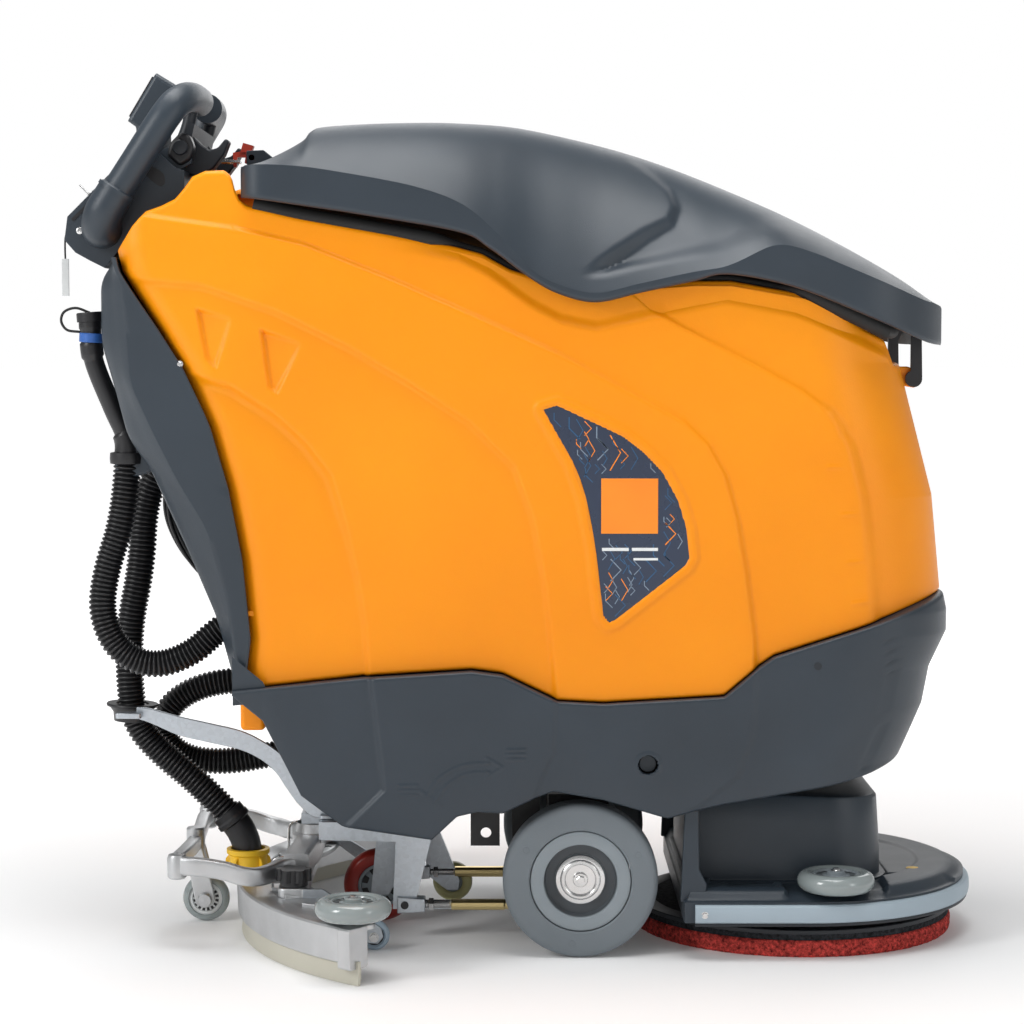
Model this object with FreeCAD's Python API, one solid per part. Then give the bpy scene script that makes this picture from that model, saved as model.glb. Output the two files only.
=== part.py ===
import FreeCAD, Part
import math
import os

# Walk-behind floor scrubber machine. Millimetres, +Z up, +X is the way it drives (brush deck in front),
# +Y is its left side. The origin is on the floor, midway between the drive wheels.

V = FreeCAD.Vector
os.makedirs("parts", exist_ok=True)

# ---------------------------------------------------------------- driving dimensions
RUN_FIT = 0.05          # radial clearance of a shaft in its bore
SEAT_GAP = 0.3          # gap of a piece that sits on another
WALL = 5.0              # moulded covers
TANK_WALL = 6.0

SKIRT_HALF = 232.0      # half width of the body at the skirt
WHEEL_R = 100.0         # drive wheel
WHEEL_W = 50.0
WHEEL_OUT_Y = SKIRT_HALF - 13.0     # outer face of each drive wheel
RIM_R = 65.5
DISH_R = 46.0
DISH_DEPTH = 18.0
CAP_R = 32.0
CAP_T = 7.0
STUB_R = 12.0
GEARBOX_R = 45.0
MOTOR_R = 52.0          # drive motor, in the middle of the gearbox
GEARBOX_HALF = WHEEL_OUT_Y - WHEEL_W - 7.0

TANK_HALF = SKIRT_HALF - 7.0        # half width of the orange tank
HOOD_HALF = SKIRT_HALF
PANEL_HALF = TANK_HALF - 10.0
CHANNEL_HALF = PANEL_HALF - 45.0    # half width of the hose channel in the rear panel
CHANNEL_SKIN_X = 12.0   # how far the channel's skin stands behind the tank
CONSOLE_HALF = 150.0
NOSE_X = 477.0          # foremost point of tank and skirt
TAIL_X = -640.0
NOSE_ROUND = 130.0
TAIL_ROUND = 40.0

SKIRT_NOSE_X = 400.0    # the skirt's lower edge turns up into its nose forward of here
PAN_Z = 2 * WHEEL_R + 15.0          # underside of the rear chassis pan, clear of the wheels
PAN_T = 6.0
PAN_REAR_X = -318.0        # clear of the hose arm when the squeegee is lifted
STEP_X = 105.0          # where the pan steps up over the brush deck
FRONT_PAN_Z = 285.0
FRONT_PAN_END_X = 385.0
TANK_FLOOR_Z = 440.0
BATTERY_L = 300.0
BATTERY_W = 172.0
BATTERY_H = 200.0

DECK_X = 293.0          # centre of the pad
DECK_R = 232.0
DECK_REAR_X = 130.0
DECK_PLATE_Z = 74.0
DECK_PLATE_T = 10.0
DECK_TOP_Z = 225.0
DECK_LIFT = 45.0
DECK_HUMP_HALF = 138.0
DECK_HUMP_X0 = 132.0
DECK_HUMP_X1 = 392.0
BUMPER_Z = 49.0
BUMPER_H = 24.0
BUMPER_T = 8.0
PAD_R = DECK_R - 16.0
PAD_T = 22.0
HOLDER_R = PAD_R - 3.0
HOLDER_T = 13.0
SPINDLE_R = 12.0
ROLLER_R = 50.0
ROLLER_H = 25.0
ROLLER_PIN_R = 6.0
DECK_ROLLER_X = 330.0
DECK_ROLLER_Y = DECK_HUMP_HALF + ROLLER_R + 8.0
ACTUATOR_X = 170.0
ACTUATOR_Y = 60.0
ACTUATOR_ROD_R = 8.0

CASTER_R = 50.0
CASTER_W = 30.0
CASTER_PIVOT_X = -233.0
CASTER_TRAIL = 35.0
CASTER_PIN_R = 10.0
CASTER_HEAD_Z = 2 * CASTER_R + 22.0     # underside of the caster's boss
CASTER_PIN_TOP_Z = PAN_Z - 13.0

TOW_X = -70.0           # lift pivot of the squeegee's tow frame
TOW_Z = 45.0
TOW_Y = 105.0           # middle plane of each tow side
TOW_T = 8.0
TOW_PIN_R = 6.0
GUIDE_X = -172.0
GUIDE_R = 28.0
GUIDE_W = 22.0
ARM_Y = -75.0           # plane of the hose arm
ARM_T = 5.0

SWING_X = -358.0        # swing pin of the squeegee
SWING_R = 8.0
SQUEEGEE_R = 447.0      # radius of the curved squeegee, centred between the drive wheels
SQUEEGEE_DEG = 51.0     # half its angle
SQUEEGEE_TOP_Z = 70.0
SQUEEGEE_WEB_T = 22.0
BLADE_T = 4.0
SQ_ROLLER_X = -285.0
SQ_ROLLER_Y = 330.0
SQ_ROLLER_R = 48.0
KNOB_X = -372.0
KNOB_Y = 165.0
KNOB_R = 23.0
KNOB_STUD_R = 5.0
RAIL_Y = 57.0
REAR_WHEEL_X = -506.0
REAR_WHEEL_R = 32.0
REAR_WHEEL_W = 22.0
SUPPORT_X = -267.0
SUPPORT_Y = 171.0
SUPPORT_R = 20.0
SUPPORT_W = 14.0
PORT_X = -446.0         # suction port on the squeegee
PORT_Y = -25.0

HANDLE_R = 19.5
HANDLE_Y = 182.0
HINGE_X = 438.0         # hood hinge, in front of the tank
HINGE_Z = 742.0
HINGE_Y = 92.0
HINGE_PIN_R = 5.0
HINGE_EYE_R = 11.0
HOOK_X = -436.0
HOOK_Z = 1036.0
HOOK_PIN_R = 4.0
PADDLE_X = -512.0
PADDLE_Z = 1034.0
PADDLE_R = 6.0
BUTTON_R = 9.0
KEY_R = 8.0

SUCTION_HOSE_R = 19.0
DRAIN_HOSE_R = 18.0
VACUUM_HOSE_R = 18.0
CABLE_R = 7.0
TETHER_R = 1.2

# outlines in the X-Z plane
TANK_RIM = [(406, 792), (284, 851), (143, 860), (-126, 905), (-357, 947), (-434, 966)]
TANK_FRONT = [(476, 466), (464, 591), (444, 668), (419, 764), (409, 764)]
TANK_REAR = [(-590, 911), (-555, 847), (-511, 758), (-479, 681), (-457, 604), (-440, 514), (-430, 411),
             (-438, 347)]
TANK_BOTTOM = [(-280, 365), (-139, 374), (-100, 369), (-30, 335), (28, 332), (182, 341), (227, 379),
               (246, 392), (387, 437)]
NECK = [(-444, 1010), (-500, 1010), (-508, 977), (-521, 969), (-552, 954)]
SKIRT_LOWER = [(-445, 342), (-405, 309), (-389, 277), (-357, 213), (-305, 174), (-190, 157), (-158, 187),
               (-132, 193), (-100, 191), (-62, 209), (-36, 219), (28, 208), (110, 184), (179, 201),
               (330, 227), (375, 237), (421, 250), (451, 320), (460, 368), (482, 415), (482, 443)]
SEAM = [(388, 436.5), (391, 430), (396, 368), (384, 301), (355, 231)]
HOOD_TOP = [(-426, 1009), (-365, 1056), (-245, 1075), (-150, 1074), (-55, 1066), (95, 1029), (262, 962),
            (413, 880), (470, 834)]
HOOD_LOWER = [(451, 788), (428, 795), (369, 819), (271, 858), (185, 875), (139, 866), (74, 852),
              (19, 840), (-25, 849), (-62, 868), (-117, 908), (-155, 928), (-273, 949), (-366, 963),
              (-430, 972), (-431, 988)]
PANEL_REAR = [(-591, 897), (-606, 880), (-613, 869), (-613, 789), (-596, 729), (-580, 667), (-552, 628),
              (-500, 512), (-468, 435), (-446, 352)]

# hose and cable routes, each from its lower or outer end
SUCTION_ROUTE = [(-470.8, -25, 150.8), (-512, -25, 194), (-560, -27, 233), (-597, -29, 275), (-604, -30, 332),
                 (-603, -31, 410),
                 (-586, -31, 490), (-582, -29, 570), (-562, -27, 624), (-524, -26, 652), (-481, -26, 660)]
DRAIN_ROUTE = [(-587, -140, 634), (-592, -140, 565), (-618, -139, 490), (-624, -138, 432),
               (-600, -136, 384), (-555, -134, 366), (-505, -132, 384), (-472, -130, 416), (-441, -129, 434)]
VACUUM_ROUTE = [(-315, 30, 322), (-400, 32, 326), (-460, 34, 328), (-520, 36, 318), (-562, 38, 290),
                (-572, 38, 250), (-540, 36, 218), (-480, 34, 212), (-410, 32, 226), (-315, 30, 238)]
CABLE_ROUTE = [(-481, 62, 660), (-528, 62, 652), (-558, 62, 614), (-566, 63, 560), (-545, 64, 508),
               (-512, 64, 468), (-476, 64, 442), (-441, 64, 434)]
TETHER_ROUTE = [(-661, -118, 940), (-668, -118, 931), (-669, -118, 914), (-668.5, -118, 898)]


# ---------------------------------------------------------------- shape helpers
def box(x0, x1, y0, y1, z0, z1):
    return Part.makeBox(x1 - x0, y1 - y0, z1 - z0, V(x0, y0, z0))


def disc(r, z0, z1, x=0.0, y=0.0):
    return Part.makeCylinder(r, z1 - z0, V(x, y, z0), V(0, 0, 1))


def rod_y(r, y0, y1, x, z):
    return Part.makeCylinder(r, y1 - y0, V(x, y0, z), V(0, 1, 0))


def slab(points, y0, y1):
    """A plate with an X-Z outline, from y0 to y1."""
    corners = [V(x, y0, z) for x, z in points]
    return Part.Face(Part.makePolygon(corners + corners[:1])).extrude(V(0, y1 - y0, 0))


def curved_slab(curve_points, line_points, y0, y1):
    """As slab, with one smooth edge through curve_points closed by straight runs."""
    curve = Part.BSplineCurve()
    curve.interpolate([V(x, y0, z) for x, z in curve_points])
    ends = [curve_points[-1]] + list(line_points) + [curve_points[0]]
    runs = Part.makePolygon([V(x, y0, z) for x, z in ends])
    wire = Part.Wire([curve.toShape()] + runs.Edges)
    return Part.Face(wire).extrude(V(0, y1 - y0, 0))


def fuse_all(shapes):
    whole = shapes[0].multiFuse(shapes[1:]) if len(shapes) > 1 else shapes[0]
    return whole.removeSplitter()


def mirrored(shape):
    return shape.mirror(V(0, 0, 0), V(0, 1, 0))


def plan_block(x0, x1, half, r_front, r_rear, z0, z1):
    """An upright block, rounded in plan at its front and rear corners."""
    k = math.sqrt(0.5)
    fx = x1 - r_front
    rx = x0 + r_rear
    edges = [Part.LineSegment(V(rx, -half, z0), V(fx, -half, z0)).toShape(),
             Part.Arc(V(fx, -half, z0), V(fx + r_front * k, -half + r_front * (1 - k), z0),
                      V(x1, -half + r_front, z0)).toShape(),
             Part.LineSegment(V(x1, -half + r_front, z0), V(x1, half - r_front, z0)).toShape(),
             Part.Arc(V(x1, half - r_front, z0), V(fx + r_front * k, half - r_front * (1 - k), z0),
                      V(fx, half, z0)).toShape(),
             Part.LineSegment(V(fx, half, z0), V(rx, half, z0)).toShape(),
             Part.Arc(V(rx, half, z0), V(rx - r_rear * k, half - r_rear * (1 - k), z0),
                      V(x0, half - r_rear, z0)).toShape(),
             Part.LineSegment(V(x0, half - r_rear, z0), V(x0, -half + r_rear, z0)).toShape(),
             Part.Arc(V(x0, -half + r_rear, z0), V(rx - r_rear * k, -half + r_rear * (1 - k), z0),
                      V(rx, -half, z0)).toShape()]
    return Part.Face(Part.Wire(edges)).extrude(V(0, 0, z1 - z0))


def inset(points, depth):
    """An outline moved inwards by depth, whichever way round it is listed."""
    n = len(points)
    area = sum(points[i][0] * points[(i + 1) % n][1] - points[(i + 1) % n][0] * points[i][1]
               for i in range(n))
    side = depth if area > 0 else -depth
    lines = []
    for i in range(n):
        (xa, za), (xb, zb) = points[i], points[(i + 1) % n]
        length = math.hypot(xb - xa, zb - za)
        nx = -(zb - za) / length * side
        nz = (xb - xa) / length * side
        lines.append((xa + nx, za + nz, xb - xa, zb - za))
    moved = []
    for i in range(n):
        xa, za, ua, wa = lines[i - 1]
        xb, zb, ub, wb = lines[i]
        t = ((xb - xa) * wb - (zb - za) * ub) / (ua * wb - wa * ub)
        moved.append((xa + ua * t, za + wa * t))
    return moved


def tube(route, r, name=None):
    """A round tube along straight runs joined by arcs as large as the runs allow."""
    pts = [V(*p) for p in route]
    edges = []
    radii = []
    start = pts[0]
    for i in range(1, len(pts) - 1):
        back = pts[i - 1] - pts[i]
        ahead = pts[i + 1] - pts[i]
        turn = math.pi - back.getAngle(ahead)
        shorter = min(back.Length, ahead.Length)
        radius = 0.45 * shorter / math.tan(turn / 2)
        cut = 0.45 * shorter
        u = V(back).normalize()
        w = V(ahead).normalize()
        a = pts[i] + u * cut
        b = pts[i] + w * cut
        middle = V(u + w).normalize()
        centre = pts[i] + middle * math.hypot(radius, cut)
        edges.append(Part.LineSegment(start, a).toShape())
        edges.append(Part.Arc(a, centre - middle * radius, b).toShape())
        radii.append(radius)
        start = b
    edges.append(Part.LineSegment(start, pts[-1]).toShape())
    path = Part.Wire(edges)
    ring = Part.Wire([Part.makeCircle(r, pts[0], pts[1] - pts[0])])
    solid = path.makePipeShell([ring], True, False)
    if name:
        ideal = math.pi * r * r * path.Length
        print(name, "length", round(path.Length, 1), "radii", [round(x, 1) for x in radii],
              "volume ratio", round(solid.Volume / ideal, 4))
    return solid


def sector(r0, r1, half_deg, z0, z1):
    """A ring sector round the origin, centred on the -X direction."""
    ring = disc(r1, z0, z1).cut(disc(r0, z0 - 1, z1 + 1))
    reach = 2 * r1
    half = math.radians(half_deg)
    wedge = Part.makePolygon([V(0, 0, z0), V(-reach * math.cos(half), -reach * math.sin(half), z0),
                              V(-reach, 0, z0), V(-reach * math.cos(half), reach * math.sin(half), z0),
                              V(0, 0, z0)])
    return ring.common(Part.Face(wedge).extrude(V(0, 0, z1 - z0)))


parts = {}


def keep(name, shape):
    parts[name] = shape


def keep_pair(stem, right_shape):
    """The right-hand piece is on the -Y side; the left-hand one is its mirror image."""
    keep("right_" + stem, right_shape)
    keep("left_" + stem, mirrored(right_shape))


# ---------------------------------------------------------------- chassis
def skirt_plan(half, z0, z1):
    return plan_block(TAIL_X, NOSE_X + 6 - (SKIRT_HALF - half), half, NOSE_ROUND, TAIL_ROUND, z0, z1)


def chassis_frame():
    pan_half = SKIRT_HALF - WALL - SEAT_GAP
    front_z1 = FRONT_PAN_Z + PAN_T
    plates = [box(PAN_REAR_X, STEP_X, -pan_half, pan_half, PAN_Z, PAN_Z + PAN_T),
              box(STEP_X, STEP_X + PAN_T, -pan_half, pan_half, PAN_Z, front_z1),
              box(STEP_X, FRONT_PAN_END_X, -150, 150, FRONT_PAN_Z, front_z1),
              box(STEP_X, FRONT_PAN_END_X - 60, -pan_half, pan_half, FRONT_PAN_Z, front_z1),
              box(PAN_REAR_X, PAN_REAR_X + PAN_T, -200, 200, PAN_Z, 344)]
    boss = disc(30, CASTER_HEAD_Z, PAN_Z + 1, CASTER_PIVOT_X)
    plates.append(boss)
    for side in (-1, 1):
        y0, y1 = sorted((side * 60, side * 100))
        plates.append(box(-40, 40, y0, y1, WHEEL_R + GEARBOX_R, PAN_Z))
        lug = TOW_Y + TOW_T / 2 + 1
        y0, y1 = sorted((side * lug, side * (lug + 8)))
        plates.append(slab([(TOW_X - 14, TOW_Z - 12), (TOW_X + 14, TOW_Z - 12), (TOW_X + 20, PAN_Z),
                            (TOW_X - 20, PAN_Z)], y0, y1))
        y0, y1 = sorted((side * (TOW_Y - TOW_T / 2), side * lug))
        plates.append(rod_y(TOW_PIN_R, y0, y1, TOW_X, TOW_Z))
        y0, y1 = sorted((side * 150, side * 155))
        plates.append(box(-142, -104, y0, y1, 134, PAN_Z).cut(rod_y(7, y0 - 1, y1 + 1, -122, 151)))
    frame = fuse_all(plates)
    frame = frame.cut(disc(CASTER_PIN_R + RUN_FIT, CASTER_HEAD_Z - 1, CASTER_PIN_TOP_Z + 3, CASTER_PIVOT_X))
    frame = frame.cut(disc(22.3, FRONT_PAN_Z - 1, front_z1 + 1, ACTUATOR_X, ACTUATOR_Y))
    return frame


def skirt_shell():
    outline = SKIRT_LOWER + [(NOSE_X, 466)] + TANK_BOTTOM[::-1] + [(-438, 347)]
    outer = slab(outline, -SKIRT_HALF - 1, SKIRT_HALF + 1).common(skirt_plan(SKIRT_HALF, 100, 500))
    nose = [(x - WALL, z) for x, z in SKIRT_LOWER if x > SKIRT_NOSE_X]
    hollow = nose + [(NOSE_X - WALL, 500), (TAIL_X - 1, 500), (TAIL_X - 1, 100), (nose[0][0], 100)]
    inner = slab(hollow, -SKIRT_HALF, SKIRT_HALF).common(skirt_plan(SKIRT_HALF - WALL, 90, 510))
    return outer.cut(inner)


def nose_zone(gap):
    """The space forward of the seam between the skirt and its nose piece."""
    edge = [(x + gap, z) for x, z in SEAM]
    return slab(edge + [(355 + gap, 100), (600, 100), (600, 600), (388 + gap, 600)], -300, 300)


def base_skirt():
    hole = rod_y(11, -SKIRT_HALF - 2, SKIRT_HALF + 2, 85, 254)
    return skirt_shell().cut(nose_zone(-1.0)).cut(hole)


def front_cover():
    return skirt_shell().common(nose_zone(0.0))


def tank_outline():
    return TANK_RIM + NECK + TANK_REAR + TANK_BOTTOM + TANK_FRONT


def tank_plan(depth, z0, z1):
    return plan_block(TAIL_X + depth, NOSE_X - depth, TANK_HALF - depth, NOSE_ROUND - depth,
                      TAIL_ROUND - depth, z0, z1)


def solution_tank():
    lift = SEAT_GAP
    outer = slab([(x, z + lift) for x, z in tank_outline()], -TANK_HALF, TANK_HALF)
    outer = outer.common(tank_plan(0, 250, 1100))
    inner = slab(inset(tank_outline(), TANK_WALL), -TANK_HALF, TANK_HALF)
    above = fuse_all([inner, box(-425, 395, -TANK_HALF, TANK_HALF, 700, 1100)])
    above = above.common(tank_plan(TANK_WALL, TANK_FLOOR_Z + TANK_WALL, 1100))
    below = fuse_all([inner, box(-424, NOSE_X, -TANK_HALF, TANK_HALF, 240, TANK_FLOOR_Z)])
    below = below.common(tank_plan(TANK_WALL, 240, TANK_FLOOR_Z))
    shell = outer.cut(above).cut(below)
    ledges = []
    for side in (-1, 1):
        y0, y1 = sorted((side * (TANK_HALF - TANK_WALL - 22), side * (TANK_HALF - 1)))
        ledges.append(box(-380, 240, y0, y1, 554, 560))
        y0, y1 = sorted((side * (HINGE_Y - 6), side * (HINGE_Y + 6)))
        ledges.append(slab([(405, 758), (432, 758), (449, 748), (449, 736), (440, 730), (412, 735)], y0, y1))
        y0, y1 = sorted((side * 100, side * 200))
        foot = box(-437, -405, y0, y1, 292, 349)
        ledges.append(foot.cut(box(-431, -411, y0 + WALL, y1 - WALL, 285, 344)))
    tank = fuse_all([shell] + ledges)
    return tank.cut(rod_y(HINGE_PIN_R + RUN_FIT, -HINGE_Y - 20, HINGE_Y + 20, HINGE_X, HINGE_Z))


def recovery_tank():
    half = TANK_HALF - TANK_WALL - 2
    floor = 560 + SEAT_GAP
    tub = plan_block(-385, 250, half, 40, 40, floor, 845)
    hollow = plan_block(-381, 246, half - 4, 36, 36, floor + 4, 900)
    return tub.cut(hollow)


def lid_seal():
    top = [(395, 797.4), (284, 851), (143, 860), (-126, 905), (-357, 947), (-412, 960.9)]
    low = [(x, z + 2 * SEAT_GAP) for x, z in top]
    high = [(x, z + 9) for x, z in top]
    band = slab(low + high[::-1], -TANK_HALF, TANK_HALF)
    ring = tank_plan(1, 700, 1100).cut(tank_plan(18, 690, 1110).common(box(-402, 380, -300, 300, 690, 1110)))
    return band.common(ring)


def rear_panel():
    front = [(x - 1.5, z) for x, z in TANK_REAR]
    outline = PANEL_REAR + front[::-1]
    whole = slab(outline, -PANEL_HALF, PANEL_HALF)
    channel = [(x - CHANNEL_SKIN_X, z) for x, z in TANK_REAR]
    behind = slab(channel + [(-700, 347), (-700, 911)], -CHANNEL_HALF, CHANNEL_HALF)
    whole = whole.cut(behind)
    rear_face = [(x + WALL, z) for x, z in PANEL_REAR if 400 < z < 870]
    front_face = [(x + WALL, z) for x, z in TANK_REAR if 400 < z < 870]
    for side in (-1, 1):
        y0, y1 = sorted((side * (CHANNEL_HALF + WALL), side * (PANEL_HALF - WALL)))
        whole = whole.cut(slab(rear_face + front_face[::-1], y0, y1))
    return whole


def battery_pack():
    low = PAN_Z + PAN_T + SEAT_GAP
    return Part.makeCompound([box(x, x + BATTERY_L, y, y + BATTERY_W, low, low + BATTERY_H)
                              for x in (PAN_REAR_X + 12,) for y in (-BATTERY_W - 2, 2)])


def suction_motor():
    low = FRONT_PAN_Z + PAN_T + SEAT_GAP
    body = disc(52, low, low + 78, 290, -70)
    flange = disc(62, low, low + 6, 290, -70)
    spout = box(290, 365, -90, -50, low + 10, low + 50)
    return fuse_all([body, flange, spout])


def drive_unit():
    housing = rod_y(GEARBOX_R, -GEARBOX_HALF, GEARBOX_HALF, 0, WHEEL_R)
    bulge = rod_y(MOTOR_R, -50, 50, 0, WHEEL_R)
    saddle = box(-40, 40, -100, -60, WHEEL_R, WHEEL_R + GEARBOX_R - SEAT_GAP)
    unit = fuse_all([housing, bulge, saddle, mirrored(saddle)])
    for y0 in (-GEARBOX_HALF - 1, GEARBOX_HALF - 50):
        unit = unit.cut(rod_y(STUB_R + RUN_FIT, y0, y0 + 51, 0, WHEEL_R))
    return unit


def wheel():
    inner_y = -WHEEL_OUT_Y + WHEEL_W
    tyre = rod_y(WHEEL_R, -WHEEL_OUT_Y, inner_y, 0, WHEEL_R)
    tyre = tyre.makeFillet(4, [e for e in tyre.Edges if abs(e.Length - 2 * math.pi * WHEEL_R) < 1])
    tyre = tyre.cut(rod_y(RIM_R + SEAT_GAP, -WHEEL_OUT_Y - 1, inner_y + 1, 0, WHEEL_R))
    rim = rod_y(RIM_R, -WHEEL_OUT_Y + 1, inner_y - 1, 0, WHEEL_R)
    dish = rod_y(DISH_R, -WHEEL_OUT_Y, -WHEEL_OUT_Y + 1 + DISH_DEPTH, 0, WHEEL_R)
    hub = rod_y(CAP_R - 2, -WHEEL_OUT_Y + 8, inner_y - 1, 0, WHEEL_R)
    stub = rod_y(STUB_R, inner_y - 2, -GEARBOX_HALF + 46, 0, WHEEL_R)
    rim = fuse_all([rim.cut(dish), hub, stub])
    face = -WHEEL_OUT_Y + 8
    cap = rod_y(CAP_R, face - CAP_T, face, 0, WHEEL_R)
    cap = cap.makeFillet(2.5, [e for e in cap.Edges if e.BoundBox.YMax < face - CAP_T + 0.1
                               and e.Length > 6 * CAP_R])
    cap = cap.cut(rod_y(16, face - CAP_T - 1, face - CAP_T + 4, 0, WHEEL_R))
    bolt = rod_y(7, face - CAP_T, face - 2, 0, WHEEL_R)
    return tyre, rim, fuse_all([cap, bolt])


# ---------------------------------------------------------------- hood
def hood_shell():
    top = [(x, z) for x, z in HOOD_TOP]
    outer = curved_slab(top, HOOD_LOWER, -HOOD_HALF, HOOD_HALF)
    ridge = [e for e in outer.Edges if e.Length > 800 and abs(abs(e.BoundBox.YMin) - HOOD_HALF) < 1
             and abs(e.BoundBox.YMax - e.BoundBox.YMin) < 1]
    outer = outer.makeFillet(40, ridge)
    plan = plan_block(-432, 472, HOOD_HALF, NOSE_ROUND, 30, 700, 1100)
    outer = outer.common(plan)
    low_top = [(x + (WALL if x < -400 else 0) - (WALL if x > 440 else 0), z - WALL - 1) for x, z in top]
    inner = curved_slab(low_top, [(446, 790), (446, 600), (-425, 600)], -HOOD_HALF + WALL, HOOD_HALF - WALL)
    ridge = [e for e in inner.Edges if e.Length > 800 and abs(e.BoundBox.YMax - e.BoundBox.YMin) < 1
             and e.BoundBox.ZMax > 1000]
    inner = inner.makeFillet(36, ridge)
    hollow_plan = plan_block(-427, 467, HOOD_HALF - WALL, NOSE_ROUND - WALL, 26, 600, 1100)
    shell = outer.cut(inner.common(hollow_plan))
    ears = []
    for side in (-1, 1):
        y0, y1 = sorted((side * 10, side * 15))
        ears.append(slab([(-443, 1027), (-414, 1012), (-398, 1028), (-420, 1046), (-443, 1045)], y0, y1))
    shell = fuse_all([shell] + ears)
    return shell.cut(rod_y(HOOK_PIN_R + RUN_FIT, -30, 30, HOOK_X, HOOK_Z))


def hood_hinge_straps():
    straps = []
    for side in (-1, 1):
        y0, y1 = sorted((side * (HINGE_Y + 7), side * (HINGE_Y + 13)))
        blade = slab([(434, 742), (446, 738), (449, 744), (448, 792), (459, 815), (452, 826), (438, 822),
                      (434, 800)], y0, y1)
        eye = rod_y(HINGE_EYE_R, y0, y1, HINGE_X, HINGE_Z)
        y0, y1 = sorted((side * (HINGE_Y - 7), side * (HINGE_Y + 8)))
        straps.append(fuse_all([blade, eye, rod_y(HINGE_PIN_R, y0, y1, HINGE_X, HINGE_Z)]))
    return Part.makeCompound(straps)


def hood_hook():
    body = slab([(-445, 1036), (-440, 1044), (-430, 1043), (-428, 1034), (-438, 1028), (-446, 1029)], -9, 9)
    finger = slab([(-462, 1043), (-440, 1046), (-436, 1042), (-440, 1037), (-456, 1037), (-457, 1024),
                   (-461, 1024)], -6, 6)
    grip = slab([(-452, 1043), (-437, 1044), (-434, 1052), (-448, 1056)], -8, 8)
    pin = rod_y(HOOK_PIN_R, -15, 15, HOOK_X, HOOK_Z)
    return fuse_all([body, finger, grip, pin])


def lock_bar():
    strip = box(-498, -452, -12, 12, 1029, 1033).cut(box(-465, -454, -8, 8, 1020, 1040))
    leg = box(-498, -486, -12, 12, 1010 + 2 * SEAT_GAP, 1030)
    return fuse_all([strip, leg])


# ---------------------------------------------------------------- console
CONSOLE = [(-660, 951), (-585, 1026), (-548, 1038), (-520, 1014), (-509, 1010), (-509, 979),
           (-521.5, 970), (-552.5, 955), (-590.8, 912), (-612, 885), (-632, 895), (-650, 905), (-664, 921)]


def console_housing():
    shell = slab(CONSOLE, -CONSOLE_HALF, CONSOLE_HALF)
    hollow = slab(inset(CONSOLE, WALL), -CONSOLE_HALF + WALL, CONSOLE_HALF - WALL)
    shell = shell.cut(hollow)
    ears = []
    for side in (-1, 1):
        y0, y1 = sorted((side * 122, side * 134))
        ears.append(slab([(-548, 1010), (-520, 1010), (-502, 1020), (-500, 1040), (-518, 1044),
                          (-548, 1036)], y0, y1))
    return fuse_all([shell] + ears)


def console_bores(shell):
    shell = shell.cut(rod_y(PADDLE_R + RUN_FIT, -140, 140, PADDLE_X, PADDLE_Z))
    slot = box(-540, -480, -121, 121, 1016, 1060)
    shell = shell.cut(slot.common(slab([(-526, 1015), (-480, 1015), (-480, 1060), (-526, 1060)], -121, 121)))
    return shell


def console_face_point(t):
    """A point on the sloping dash, t from its rear edge (0) to its front edge (1)."""
    (xa, za), (xb, zb) = CONSOLE[0], CONSOLE[1]
    return xa + (xb - xa) * t, za + (zb - za) * t


def dash_rod(r, t, y, below, above):
    """A cylinder square to the sloping dash, from below its face to above it."""
    x, z = console_face_point(t)
    n = V(-1, 0, 1).normalize()
    foot = V(x, y, z) - n * below
    return Part.makeCylinder(r, below + above, foot, n)


def display_unit():
    return slab([(-595, 1081), (-557, 1144), (-529, 1127), (-553, 1088), (-552, 1037.6),
                 (-582, 1027.8), (-584, 1073)], -62, 62)


def handlebar():
    y0 = -CONSOLE_HALF - SEAT_GAP
    route = [(-614, y0, 938), (-614, -HANDLE_Y + 4, 938), (-604, -HANDLE_Y, 962), (-514, -HANDLE_Y, 1098),
             (-486, -150, 1118), (-470, -70, 1124)]
    whole = route + [(x, -y, z) for x, y, z in route[::-1]]
    return tube(whole, HANDLE_R)


def drive_paddle():
    shaft = rod_y(PADDLE_R, -134, 134, PADDLE_X, PADDLE_Z)
    sleeve = rod_y(PADDLE_R + 4, -118, 118, PADDLE_X, PADDLE_Z)
    blade = slab([(-518, 1036), (-508, 1036), (-500, 1072), (-507, 1076)], -112, 112)
    return fuse_all([shaft, sleeve, blade])


# ---------------------------------------------------------------- hoses
def drain_hose_end():
    pipe = tube([(-633, -140, 816), (-629, -140, 765), (-606, -140, 706), (-588, -140, 664),
                 (-587, -140, 634)], 13)
    collar = Part.makeCylinder(17, 34, V(-633, -140, 816), V(4, 0, -51))
    collar2 = Part.makeCylinder(18, 28, V(-588, -140, 664), V(1, 0, -30))
    clip = box(-590, -558, -146, -134, 640, 662)
    strap = box(-632, -566, -146, -134, 786, 802)
    return fuse_all([pipe, collar, collar2, clip, strap])


def drain_cap():
    cap = Part.makeCylinder(17.5, 12, V(-633, -140, 816.6), V(-4, 0, 51))
    return cap.makeFillet(2, [e for e in cap.Edges if e.BoundBox.ZMin > 825])


# ---------------------------------------------------------------- brush deck
def deck_plan(r, z0, z1, rear=DECK_REAR_X):
    """Round in front and square behind, and clear of the drive motor and of the drive wheels."""
    plan = fuse_all([disc(r, z0, z1, DECK_X), box(rear, DECK_X, -r, r, z0, z1)])
    between = WHEEL_OUT_Y - WHEEL_W - 8
    front = DECK_X + r + 1
    room = fuse_all([box(MOTOR_R + 8.5, front, -between, between, z0, z1),
                     box(WHEEL_R + 8, front, -r - 1, r + 1, z0, z1)])
    return plan.common(room)


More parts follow.
